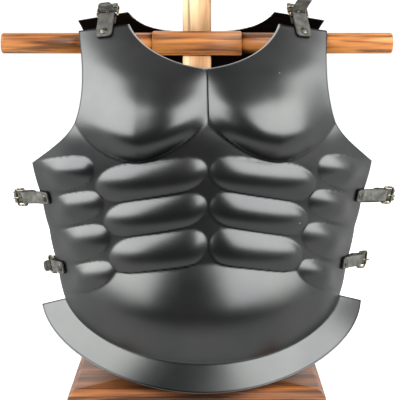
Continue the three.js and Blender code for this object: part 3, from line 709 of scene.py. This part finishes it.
def tab_strip(plan):
    """Root, stretch to the bar, half a turn round it, and hem, as one run of stations."""
    half = plan["width"] / 2
    tip = -plan["rest"] - ROOT_LENGTH
    length = run_along(cubic(plan["tab"], np.linspace(0, 1, CURVE_STEPS // 2)))[-1]
    reach = half * TAB_TIP_SHARE
    distances = np.concatenate([tip + np.linspace(0, 1, TIP_STATIONS + 1)[:-1] ** 2 * reach,
                                np.linspace(tip + reach, length, TAB_STATIONS)])
    widths = (plan["start"]["width"], plan["start"]["width"])
    centre, width, lean = curve_frames(plan["tab"], widths, plan["outward"], distances)
    bar = plan["bar"]
    angle = np.linspace(0, math.pi, WRAP_STATIONS + 1)[1:, None]
    wrap_lean = bar["lean"] * np.cos(angle) + bar["along"] * np.sin(angle)
    wrap = bar["centre"] - bar["lean"] * BAR_SINK + wrap_lean * BAR_SINK
    hem_run = np.linspace(0, HEM_LENGTH, HEM_STATIONS + 1)[1:, None]
    hem = wrap[-1] - bar["along"] * hem_run
    centre = np.concatenate([centre, wrap, hem])
    lean = np.concatenate([lean, wrap_lean, np.repeat(wrap_lean[-1:], HEM_STATIONS, axis=0)])
    turned = np.repeat(bar["width"][None], WRAP_STATIONS + HEM_STATIONS, axis=0)
    width = np.concatenate([width, turned])
    share = np.ones(len(centre))
    share[:len(distances)] = end_rounding(distances - tip, reach)
    piece = leather_strip(plan["name"] + "_tab_leather", plan["side"], centre, width, lean,
                          half * share)
    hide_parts(plan["name"] + "_tab")
    return piece


tabs = [tab_strip(plan) for plan in PLANS]

# %% [markdown]
# ## Billets
# The billet is the long end that is riveted to the back plate. It passes under the
# buckle. On the shoulders and at the lower left its free end comes up through the frame
# and stands out, and elsewhere it lies behind the tab.

# %% Billets
FRONT_STATIONS, BILLET_STATIONS = 26, 44
BILLET_TIP_SHARE = 0.7
BILLET_EASE = 1.0  # how much narrower than the tab it is on each side


def billet_front(plan):
    """Listed stations of the billet's front end: along, outward, tilt.

    They are measured from the buckle's bar, and the tilt turns the leather's face."""
    free = plan["free"]
    if free > 0:
        return np.array([(7 + free * 0.2, free, 0.2), (7.6, free * 0.75, 0.15),
                         (8, free * 0.5, 0.1), (7.6, -3, 0.05), (8.8, -6.6, 0.6),
                         (12, -BILLET_SINK, 1.3)])
    flat = math.pi / 2
    return np.array([(-14, -BILLET_SINK, flat), (-11, -BILLET_SINK, flat),
                     (0, -BILLET_SINK, flat), (10, -BILLET_SINK, flat)])


def refine(rows, count):
    """Carries a smooth curve through listed rows: a cubic Hermite with centred slopes."""
    knots = np.arange(len(rows), dtype=float)
    slopes = np.gradient(rows, axis=0)
    t = np.linspace(0, len(rows) - 1, count)
    k = np.minimum(t.astype(int), len(rows) - 2)
    f = (t - knots[k])[:, None]
    a, b, ma, mb = rows[k], rows[k + 1], slopes[k], slopes[k + 1]
    return (a * (2 * f ** 3 - 3 * f ** 2 + 1) + ma * (f ** 3 - 2 * f ** 2 + f)
            + b * (-2 * f ** 3 + 3 * f ** 2) + mb * (f ** 3 - f ** 2))


def billet_strip(plan):
    """The listed front end, then the curve to the back plate, as one run of stations."""
    half = plan["width"] / 2 - BILLET_EASE
    bar = plan["bar"]
    front = refine(billet_front(plan), FRONT_STATIONS)
    u, n, tilt = front.T[:, :, None]
    front_centre = bar["centre"] + bar["along"] * u + bar["lean"] * n
    front_lean = -bar["along"] * np.cos(tilt) + bar["lean"] * np.sin(tilt)
    widths = (plan["start"]["width"], plan["end"]["width"])
    length = run_along(cubic(plan["billet"], np.linspace(0, 1, CURVE_STEPS)))[-1]
    tip = length + plan["rest"] + ROOT_LENGTH
    reach = half * BILLET_TIP_SHARE
    distances = np.concatenate([np.linspace(0, tip - reach, BILLET_STATIONS),
                                tip - np.linspace(1, 0, TIP_STATIONS + 1)[1:] ** 2 * reach])
    centre, width, lean = curve_frames(plan["billet"], widths, plan["outward"], distances)
    centre = np.concatenate([front_centre, centre])
    lean = np.concatenate([front_lean, lean])
    width = np.concatenate([np.repeat(bar["width"][None], len(front), axis=0), width])
    run = run_along(centre)
    share = end_rounding(run, reach) * end_rounding(run[-1] - run, reach)
    piece = leather_strip(plan["name"] + "_billet_leather", plan["side"], centre, width, lean,
                          half * share)
    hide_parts(plan["name"] + "_billet")
    return piece


billets = [billet_strip(plan) for plan in PLANS]

# %% [markdown]
# ## Buckles
# Each frame is a bent brass wire, so it is a circle carried round a rectangle with
# rounded corners. The bar side is covered by the tab's turn. The tongue is a tapered
# tooth that rests on the far side.

# %% Buckle frames
FRAME_CORNER = 2.6
FRAME_SIDES = 14
CORNER_POINTS = 8


def swept_ring(path, across, up, radius):
    """Carries a circle round a closed path; across points out of the ring."""
    angle = np.linspace(0, 2 * math.pi, FRAME_SIDES, endpoint=False)
    ring = (path[:, None] + across[:, None] * (np.cos(angle) * radius)[None, :, None]
            + up[:, None] * (np.sin(angle) * radius)[None, :, None])
    return ring, grid_faces(len(path), FRAME_SIDES, wrap_rows=True, wrap_columns=True)


def rounded_rectangle(x0, x1, y0, y1, radius):
    """Outline points and their outward directions: a quarter circle at each corner."""
    corners = [(x1 - radius, y0 + radius, -90), (x1 - radius, y1 - radius, 0),
               (x0 + radius, y1 - radius, 90), (x0 + radius, y0 + radius, 180)]
    points, normals = [], []
    for cx, cy, start in corners:
        angle = np.radians(start + np.linspace(0, 90, CORNER_POINTS))
        direction = np.stack([np.cos(angle), np.sin(angle)], axis=1)
        points.append(np.array([cx, cy]) + radius * direction)
        normals.append(direction)
    return np.concatenate(points), np.concatenate(normals)


def buckle_frame(plan):
    """A wire ring whose near side is the bar that the tab turns round."""
    bar = plan["bar"]
    rail = plan["width"] / 2 + FRAME_MARGIN + BUCKLE_WIRE / 2
    outline, outward = rounded_rectangle(0, FRAME_LENGTH, -rail, rail, FRAME_CORNER)
    origin = bar["centre"] - bar["lean"] * BAR_SINK
    path = origin + outline[:, :1] * bar["along"] + outline[:, 1:] * bar["width"]
    across = outward[:, :1] * bar["along"] + outward[:, 1:] * bar["width"]
    up = np.repeat(bar["lean"][None], len(path), axis=0)
    ring, faces = swept_ring(path, across, up, BUCKLE_WIRE / 2)
    ring = placed(ring, plan["side"])
    piece = shell(plan["name"] + "_buckle_wire", [(ring, faces, {})])
    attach(piece, "root")
    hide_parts(plan["name"] + "_buckle")
    return piece


# %% Buckle tongues
TONGUE_STATIONS = 30
TONGUE_SIDES = 12


def buckle_tongue(plan):
    """An ellipse carried along the tooth, thick at the turn and thin at the tip."""
    bar = plan["bar"]
    rest = BUCKLE_WIRE / 2 + GAP - BAR_SINK
    root = BAR_SINK + LEATHER_WALL / 2 + 2 * GAP
    stations = np.array([  # along, outward, half width, half height
        (root, rest - 0.9, 1.2, 0.5), (root + 0.6, rest - 0.5, 1.5, 1.0),
        (root + 3.5, rest + 0.95, 1.4, 1.1), (root + 7, rest + 1.2, 1.3, 1.0),
        (FRAME_LENGTH + 1.5, rest + 0.75, 1.15, 0.75), (FRAME_LENGTH + 4.4, rest + 0.6, 0.9, 0.6),
        (FRAME_LENGTH + 5, rest + 0.55, 0.3, 0.25)])
    rows = refine(stations, TONGUE_STATIONS)
    angle = np.linspace(0, 2 * math.pi, TONGUE_SIDES, endpoint=False)
    centre = bar["centre"] + rows[:, :1] * bar["along"] + rows[:, 1:2] * bar["lean"]
    rings = (centre[:, None] + bar["width"] * (rows[:, 2:3] * np.cos(angle))[..., None]
             + bar["lean"] * (rows[:, 3:4] * np.sin(angle))[..., None])
    piece = shell(plan["name"] + "_tongue_tooth", stacked(placed(rings, plan["side"])))
    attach(piece, "root")
    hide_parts(plan["name"] + "_tongue")
    return piece


buckles = [buckle_frame(plan) for plan in PLANS]
tongues = [buckle_tongue(plan) for plan in PLANS]

# %% [markdown]
# ## Rivets
# A rivet holds leather to steel: a low dome outside, a shank, and a burr inside. Its
# profile is turned about its axis, so the radius of each step is a row of a table.

# %% Rivets
SHANK_RADIUS = 2.0
BURR_RADIUS, BURR_HEIGHT = 4.0, 1.4
HEAD_RADIUS, HEAD_RIM, DOME_RISE = 4.9, 0.3, 1.4
DOME_STEPS = 8
RIVET_SIDES = 24
PIN_POINT = 0.001  # the last ring at each end, which welds to a point
RIVET_DEPTH = SEAT_GAP + LEATHER_WALL / 2 + STEEL_WALL + 1.2  # from mid leather to the burr


def rivet(name, place, side):
    """Turns the rivet's profile about the strap's outward direction."""
    head = LEATHER_WALL / 2 + GAP
    foot = -RIVET_DEPTH - BURR_HEIGHT
    rise = np.radians(np.linspace(0, 90, DOME_STEPS + 1))
    dome = np.stack([HEAD_RADIUS * np.cos(rise), head + HEAD_RIM + DOME_RISE * np.sin(rise)], axis=1)
    dome[-1, 0] = PIN_POINT
    profile = np.concatenate([[  # radius, height
        (PIN_POINT, foot), (BURR_RADIUS - 0.4, foot), (BURR_RADIUS, foot + 0.4),
        (BURR_RADIUS, -RIVET_DEPTH), (SHANK_RADIUS, -RIVET_DEPTH), (SHANK_RADIUS, head),
        (HEAD_RADIUS - 0.5, head)], dome])
    angle = np.linspace(0, 2 * math.pi, RIVET_SIDES, endpoint=False)
    first = unit(np.cross(place["lean"], np.array([0.3, 0.2, 0.9])))
    second = np.cross(place["lean"], first)
    spokes = np.cos(angle)[:, None] * first + np.sin(angle)[:, None] * second
    rings = (place["centre"] + profile[:, :1, None] * spokes[None]
             + profile[:, 1:, None] * place["lean"])
    piece = shell(name, stacked(placed(rings, side)))
    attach(piece, "root")
    return piece


rivets = []
for plan in PLANS:
    for place, node in ((plan["start"], "_tab_rivet"), (plan["end"], "_billet_rivet")):
        head = rivet(plan["name"] + node + "_head", place, plan["side"])
        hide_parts(plan["name"] + node)
        rivets.append(head)

# %% [markdown]
# ## The stand
# The base is a board with a moulded edge. It is narrower from front to back than it is
# wide, so its profile is a list of insets and heights carried round an oblong whose
# corners are barely eased. The post is a square length, cut away in front where the bar's
# block lies in it. The bar is turned down to a dowel on both sides of a square middle.
# Real edges are never sharp, and the thin bright lines on eased edges are what makes
# wood look solid.

# %% Stand sizes in millimetres
BASE_HALF = (163.0, 133.7)
BASE_PROFILE = [  # inset, height
    (1.5, 0.0), (0.0, 1.5), (0.0, 21.8), (0.8, 22.8), (2.4, 23.6), (3.0, 24.6), (3.2, 25.6),
    (5.0, 26.0), (5.0, 28.0), (5.6, 28.8), (7.2, 29.4), (8.0, 30.3), (9.4, 31.0)]
POST_HALF = 18.5
POST_FOOT, POST_TOP = 31.3, 592.0
BAR_HEIGHT, BAR_Y = 462.0, -5.0
BAR_END = 255.0
DOWEL_RADIUS = 13.5
BLOCK_END, BLOCK_HALF = 58.0, 15.5
BASE_CORNER = 1.6
POST_CORNER, POST_CORNER_TOP, POST_CHAMFER = 1.8, 1.2, 1.4
BLOCK_CORNER, BLOCK_CHAMFER = 1.4, 1.2
DOWEL_ROUND = 3.0  # radius of the rounding at the dowels' ends
DOWEL_SIDES = 64


# %% Rings of wood
def oblong_ring(half_x, low_y, high_y, ease):
    """Points round an oblong with eased corners, five to a corner."""
    corner = np.linspace(0, math.pi / 2, 5)
    points = []
    for quarter, (sx, y) in enumerate([(1, high_y), (-1, high_y), (-1, low_y), (1, low_y)]):
        angle = corner + quarter * math.pi / 2
        inward = -1 if y == high_y else 1
        points.append(np.stack([sx * (half_x - ease) + np.cos(angle) * ease,
                                y + inward * ease + np.sin(angle) * ease], axis=1))
    return np.concatenate(points)


def level_ring(height, *oblong):
    """An oblong ring lying level at a height."""
    ring = oblong_ring(*oblong)
    return np.column_stack([ring, np.full(len(ring), height)])


def stand_piece(name, patches, node):
    """One piece of the stand in place of its construction solid."""
    piece = shell(name, patches)
    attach(piece, "root")
    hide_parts(node)
    return piece


# %% Base, post and bar
base_rings = [level_ring(height, BASE_HALF[0] - inset, inset - BASE_HALF[1],
                         BASE_HALF[1] - inset, BASE_CORNER) for inset, height in BASE_PROFILE]
stand_base = stand_piece("moulded_base", stacked(base_rings), "stand_base")

notch_low, notch_high = BAR_HEIGHT - BLOCK_HALF - GAP, BAR_HEIGHT + BLOCK_HALF + GAP
behind = BAR_Y + BLOCK_HALF + GAP
full = (POST_HALF, -POST_HALF, POST_HALF, POST_CORNER)
thin = (POST_HALF, behind, POST_HALF, POST_CORNER)
top_half = POST_HALF - POST_CHAMFER
eased = (top_half, -top_half, top_half, POST_CORNER_TOP)
post_rings = [level_ring(POST_FOOT, *full), level_ring(notch_low, *full),
              level_ring(notch_low, *thin), level_ring(notch_high, *thin),
              level_ring(notch_high, *full), level_ring(POST_TOP - POST_CHAMFER, *full),
              level_ring(POST_TOP, *eased)]
stand_post = stand_piece("square_post", stacked(post_rings), "stand_post")


def upended(rings):
    """Lays rings that were stacked upward along X instead, about the bar's centre line."""
    return [np.stack([r[:, 2], r[:, 0] + BAR_Y, r[:, 1] + BAR_HEIGHT], axis=1) for r in rings]


def dowel_rings(start, end):
    """Circles along the dowel; the last millimetres round over to its end."""
    angle = np.linspace(0, 2 * math.pi, DOWEL_SIDES, endpoint=False)
    turn = np.radians(np.linspace(0, 90, 6))
    sign = math.copysign(1.0, end - start)
    places = [(start, DOWEL_RADIUS)] + [
        (end - sign * DOWEL_ROUND * (1 - math.sin(a)), DOWEL_RADIUS - DOWEL_ROUND * (1 - math.cos(a)))
        for a in turn]
    return [np.column_stack([r * np.cos(angle), r * np.sin(angle), np.full(DOWEL_SIDES, x)])
            for x, r in places]


inner_end, end_half = BLOCK_END - BLOCK_CHAMFER, BLOCK_HALF - BLOCK_CHAMFER
block_rings = [level_ring(x, half, -half, half, BLOCK_CORNER) for x, half in (
    (-BLOCK_END, end_half), (-inner_end, BLOCK_HALF), (inner_end, BLOCK_HALF), (BLOCK_END, end_half))]
bar_patches = stacked(upended(block_rings))
for sign in (-1, 1):
    bar_patches += stacked(upended(dowel_rings(sign * (BLOCK_END - 1), sign * BAR_END)))
crossbar = stand_piece("turned_bar", bar_patches, "crossbar")

# %% [markdown]
# ## Materials
# Blackened steel is dark all through its reflection: the colour of its metal is low, and
# what the eye reads as its shape is the soft edge of each light. Its roughness varies a
# little from patch to patch. Its colour is painted near-black in the grooves and along the
# plain edges, as soot and painted shade, and pale along the neckline, as oxide rubbed off
# and a painted highlight. Wood, leather and brass each get their own pattern at their own scale.


# %% Material helpers
def new_material(name):
    """A material with its node tree and its shader."""
    material = bpy.data.materials.new(name)
    material.use_nodes = True
    tree = material.node_tree
    return material, tree, tree.nodes["Principled BSDF"]


def feed(tree, node, inputs):
    """Links each input that is given as a socket, and sets the others to their value."""
    for key, value in inputs.items():
        if isinstance(value, bpy.types.NodeSocket):
            tree.links.new(value, node.inputs[key])
        else:
            node.inputs[key].default_value = value


def add(tree, kind, inputs=None, **settings):
    """A new node with its settings and its inputs."""
    node = tree.nodes.new(kind)
    for key, value in settings.items():
        setattr(node, key, value)
    feed(tree, node, inputs or {})
    return node


def ramp(tree, source, stops):
    """A colour ramp through (position, value or colour) stops."""
    node = add(tree, "ShaderNodeValToRGB", inputs={"Fac": source})
    elements = node.color_ramp.elements
    while len(elements) < len(stops):
        elements.new(0.5)
    for element, (position, colour) in zip(elements, stops):
        element.position = position
        element.color = (*(colour if isinstance(colour, tuple) else (colour,) * 3), 1.0)
    return node.outputs["Color"]


def object_coordinates(tree, turn=(0, 0, 0)):
    """Metres in the frame, turned."""
    coordinates = add(tree, "ShaderNodeTexCoord")
    return add(tree, "ShaderNodeMapping", {"Vector": coordinates.outputs["Object"], "Rotation": turn}
               ).outputs["Vector"]


def noise(tree, vector, scale, detail, distortion=0.0):
    """Cloudy noise; the scale is in cells to the metre."""
    return add(tree, "ShaderNodeTexNoise", {"Vector": vector, "Scale": scale, "Detail": detail,
                                            "Distortion": distortion}).outputs["Fac"]


def attribute(tree, name):
    """One of the values that go with a piece's points."""
    return add(tree, "ShaderNodeAttribute", attribute_name=name).outputs["Fac"]


MIX_SHARE, MIX_FIRST, MIX_SECOND, MIX_RESULT = 0, 6, 7, 2  # the colour sockets of a Mix node


def mix_colour(tree, share, first, second, blend="MIX"):
    """Two colours blended by a share."""
    node = add(tree, "ShaderNodeMix", data_type="RGBA", blend_type=blend)
    feed(tree, node, {MIX_SHARE: share, MIX_FIRST: first, MIX_SECOND: second})
    return node.outputs[MIX_RESULT]


def bump(tree, height, strength, distance):
    """The normal of a surface raised by a pattern; the distance is in metres."""
    inputs = {"Height": height, "Strength": strength, "Distance": distance}
    return add(tree, "ShaderNodeBump", inputs).outputs["Normal"]


# %% Blackened steel
# soot and painted shade: the near-black painted into the grooves and along the plain edges
SOOT_AND_SHADE = (0.006, 0.006, 0.007, 1.0)
# rubbed bare steel, painted pale also as a highlight on the filed edges
BARE_STEEL_AND_HIGHLIGHT = (0.78, 0.78, 0.78, 1.0)
FLECK = (0.4, 0.4, 0.39, 1.0)
INSIDE_STEEL = (0.03, 0.03, 0.032, 1.0)


def blackened_steel():
    """A dark metal, painted near-black in its grooves and along plain edges as soot and painted shade,
    and pale on the filed ones as bare steel and painted highlight.
    """
    material, tree, shader = new_material("blackened steel")
    space = object_coordinates(tree)
    cloud = noise(tree, space, 14.0, 5.0)
    grain = noise(tree, space, 420.0, 3.0)
    cells = add(tree, "ShaderNodeTexVoronoi", {"Vector": space, "Scale": 22.0})
    chosen = ramp(tree, cells.outputs["Color"], [(0.66, 0.0), (0.68, 1.0)])
    middle = ramp(tree, cells.outputs["Distance"], [(0.012, 1.0), (0.03, 0.0)])
    fleck = add(tree, "ShaderNodeMath", {0: chosen, 1: middle}, operation="MULTIPLY")
    dark = ramp(tree, cloud, [(0.3, (0.078, 0.081, 0.082)), (0.7, (0.099, 0.101, 0.098))])
    # painted shade with soot: the colour darkens in the grooves between the muscles
    groove = ramp(tree, attribute(tree, "groove"), [(0.25, 0.0), (0.9, 0.85)])
    # painted shade with soot: the colour darkens along the plates' plain edges and their rim
    edge = ramp(tree, attribute(tree, "edge"), [(0.35, 0.0), (0.8, 0.85)])
    # rubbed bare steel and painted highlight along the neckline and the other filed edges
    bare_and_highlight_mask = ramp(tree, attribute(tree, "rubbed_and_highlight"), [(0.3, 0.0), (0.62, 1.0)])
    colour = mix_colour(tree, groove, dark, SOOT_AND_SHADE)
    colour = mix_colour(tree, edge, colour, SOOT_AND_SHADE)
    colour = mix_colour(tree, bare_and_highlight_mask, colour, BARE_STEEL_AND_HIGHLIGHT)
    colour = mix_colour(tree, fleck.outputs["Value"], colour, FLECK)
    colour = mix_colour(tree, attribute(tree, "inside"), colour, INSIDE_STEEL)
    rough = ramp(tree, cloud, [(0.25, 0.28), (0.75, 0.34)])
    feed(tree, shader, {"Base Color": colour, "Metallic": 1.0, "Roughness": rough,
                        "Normal": bump(tree, grain, 0.05, 0.0003)})
    return material


STEEL = blackened_steel()
for piece in (front_plate, back_plate):
    piece.data.materials.append(STEEL)


# %% Leather
EDGE_DYE = (0.012, 0.011, 0.01, 1.0)


def strap_leather():
    """Grey-green suede, blotched and fibrous, with dark dyed edges."""
    material, tree, shader = new_material("grey strap leather")
    space = object_coordinates(tree)
    fibre = noise(tree, space, 900.0, 6.0)
    patch = noise(tree, space, 130.0, 4.0)
    face = ramp(tree, patch, [(0.3, (0.035, 0.036, 0.03)), (0.5, (0.075, 0.075, 0.064)),
                              (0.7, (0.14, 0.14, 0.12))])
    edge = ramp(tree, attribute(tree, "edge"), [(0.84, 0.0), (0.97, 1.0)])
    colour = mix_colour(tree, edge, face, EDGE_DYE)
    feed(tree, shader, {"Base Color": colour, "Roughness": 0.85,
                        "Normal": bump(tree, fibre, 0.45, 0.0004)})
    return material


LEATHER = strap_leather()
for piece in tabs + billets:
    piece.data.materials.append(LEATHER)


# %% Brass
def antique_brass(name, low, high, roughness):
    """Brass under patchy brown tarnish; low and high are its darkest and its rubbed colour."""
    material, tree, shader = new_material(name)
    space = object_coordinates(tree)
    colour = ramp(tree, noise(tree, space, 300.0, 5.0), [(0.4, low), (0.66, high)])
    feed(tree, shader, {"Base Color": colour, "Metallic": 1.0, "Roughness": roughness})
    return material


BRASS = antique_brass("antique brass", (0.05, 0.042, 0.028), (0.4, 0.34, 0.22), 0.34)
RIVET_METAL = antique_brass("tarnished rivets", (0.045, 0.044, 0.038), (0.19, 0.18, 0.15), 0.42)
for piece in buckles + tongues:
    piece.data.materials.append(BRASS)
for piece in rivets:
    piece.data.materials.append(RIVET_METAL)


# %% Wood
FIBRE_STRETCH = (4.0, 90.0, 90.0)  # cells to the metre along the grain and across it
RING_STRETCH = (1.6, 22.0, 22.0)
LEVEL_GRAIN = (0, 0, 0)
UPRIGHT_GRAIN = (0, math.radians(90), 0)


def varnished_wood(name, dark, light, turn):
    """Clouds of colour under dark streaks, both stretched along the grain, under varnish."""
    material, tree, shader = new_material(name)
    space = object_coordinates(tree, turn)

    def stretched(scale):
        return add(tree, "ShaderNodeMapping", {"Vector": space, "Scale": scale}).outputs["Vector"]
    fibre = noise(tree, stretched(FIBRE_STRETCH), 1.8, 8.0, 0.5)
    rings = noise(tree, stretched(RING_STRETCH), 2.0, 4.0, 1.0)
    middle = tuple((a + b) / 2 for a, b in zip(dark, light))
    ring_colour = ramp(tree, rings, [(0.36, dark), (0.5, middle), (0.62, light)])
    streak = ramp(tree, fibre, [(0.38, 0.3), (0.5, 0.85), (0.6, 1.0)])
    colour = mix_colour(tree, 1.0, ring_colour, streak, "MULTIPLY")
    feed(tree, shader, {"Base Color": colour, "Roughness": 0.42, "Coat Weight": 0.12,
                        "Coat Roughness": 0.2, "Specular IOR Level": 0.3,
                        "Normal": bump(tree, fibre, 0.15, 0.0006)})
    return material


WARM_WOOD = varnished_wood("varnished board", (0.085, 0.026, 0.006), (0.26, 0.09, 0.024), LEVEL_GRAIN)
BAR_WOOD = varnished_wood("varnished bar", (0.20, 0.06, 0.012), (0.47, 0.185, 0.045), LEVEL_GRAIN)
POST_WOOD = varnished_wood("varnished post", (0.38, 0.2, 0.095), (0.78, 0.52, 0.3), UPRIGHT_GRAIN)
stand_base.data.materials.append(WARM_WOOD)
stand_post.data.materials.append(POST_WOOD)
crossbar.data.materials.append(BAR_WOOD)

# %% [markdown]
# ## Floor and light
# The studio is a pale floor under a pale surround, with two large soft windows, left and
# right. The windows draw the long highlights down the outer side of each muscle and
# beside the centre crease, because that is where the surface turns towards them. Dark
# steel only looks dark where it mirrors something dark, so the surround and the floor
# need two looks. What the eye and the matt surfaces meet is pale. What a glossy surface
# mirrors is what a photographer sets up round such a piece: a white table that ends just
# in front of it, and an unlit room beyond. A switch on the kind of ray gives each its
# own look.


# %% Floor
TABLE_EDGE = -0.33  # metres in front of the stand's middle
TABLE_BLUR = 0.08
TABLE_GLOW, ROOM_GLOW = 0.85, 0.1  # as mirrored
FLOOR_HALF = 12.0
PALE_PAINT = {"Base Color": (0.9, 0.9, 0.9, 1.0), "Roughness": 0.9}


def mirror_ray(tree):
    """One where a glossy surface mirrors this, nought where it is seen or gives light."""
    return add(tree, "ShaderNodeLightPath").outputs["Is Glossy Ray"]


def soft_map(tree, value, low, high, at_low, at_high):
    """A smooth step from one value to another."""
    return add(tree, "ShaderNodeMapRange", {
        "Value": value, "From Min": low, "From Max": high, "To Min": at_low, "To Max": at_high,
    }, interpolation_type="SMOOTHSTEP").outputs["Result"]


def pale_floor():
    """White, and in reflections white only as far as the table's front edge."""
    material, tree, shader = new_material("pale floor")
    feed(tree, shader, PALE_PAINT)
    depth = add(tree, "ShaderNodeSeparateXYZ", {"Vector": object_coordinates(tree)}).outputs["Y"]
    share = soft_map(tree, depth, TABLE_EDGE - TABLE_BLUR, TABLE_EDGE + TABLE_BLUR, ROOM_GLOW, TABLE_GLOW)
    mirrored = add(tree, "ShaderNodeEmission", {"Color": share}).outputs["Emission"]
    both = add(tree, "ShaderNodeMixShader", {
        0: mirror_ray(tree), 1: shader.outputs["BSDF"], 2: mirrored}).outputs["Shader"]
    feed(tree, tree.nodes["Material Output"], {"Surface": both})
    mesh = bpy.data.meshes.new("floor")
    half = FLOOR_HALF
    mesh.from_pydata([(-half, -half, 0), (half, -half, 0), (half, half, 0), (-half, half, 0)], [],
                     [(0, 1, 2, 3)])
    mesh.materials.append(material)
    floor = bpy.data.objects.new("floor", mesh)
    bpy.context.collection.objects.link(floor)


pale_floor()


# %% Lights
CHEST = np.array([0.0, 0.0, 0.3])
WINDOW_SIZE = (2.5, 1.8)
WINDOW_DISTANCE = 1.75
WINDOW_CLIMB = math.radians(27)


def soft_window(name, turn, radiance):
    """A flat lamp turned from straight in front and raised, facing the chest."""
    turn, climb = math.radians(turn), WINDOW_CLIMB
    away = np.array([math.sin(turn) * math.cos(climb), -math.cos(turn) * math.cos(climb),
                     math.sin(climb)])
    data = bpy.data.lights.new(name, "AREA")
    data.shape = "RECTANGLE"
    data.size, data.size_y = WINDOW_SIZE
    data.energy = radiance * math.pi * data.size * data.size_y
    lamp = bpy.data.objects.new(name, data)
    lamp.location = CHEST + WINDOW_DISTANCE * away
    lamp.rotation_euler = (math.pi / 2 - climb, 0.0, turn)
    bpy.context.collection.objects.link(lamp)
    print(name, [round(v, 2) for v in lamp.location], round(data.energy, 1), "W")


soft_window("left window", -73, 5.6)
soft_window("right window", 55, 5.4)

# %% Surround
PALE = (1.15, 1.15, 1.15, 1.0)
BACK_TURN, FRONT_TURN = -0.9, 0.4  # cosines of the angle from straight in front
BACK_GLOW, FRONT_GLOW = 1.1, 0.09


def surround():
    """Pale all round; mirrored, it is dim in front and bright behind the piece."""
    world = bpy.data.worlds.new("surround")
    world.use_nodes = True
    tree = world.node_tree
    background = tree.nodes["Background"]
    direction = add(tree, "ShaderNodeTexCoord").outputs["Generated"]
    forward = add(tree, "ShaderNodeVectorMath", {0: direction, 1: (0.0, -1.0, 0.0)},
                  operation="DOT_PRODUCT").outputs["Value"]
    mirrored = soft_map(tree, forward, BACK_TURN, FRONT_TURN, BACK_GLOW, FRONT_GLOW)
    seen = mix_colour(tree, mirror_ray(tree), PALE, mirrored)
    feed(tree, background, {"Color": seen, "Strength": 1.0})
    bpy.context.scene.world = world


surround()
bpy.context.scene.view_settings.view_transform = "Standard"
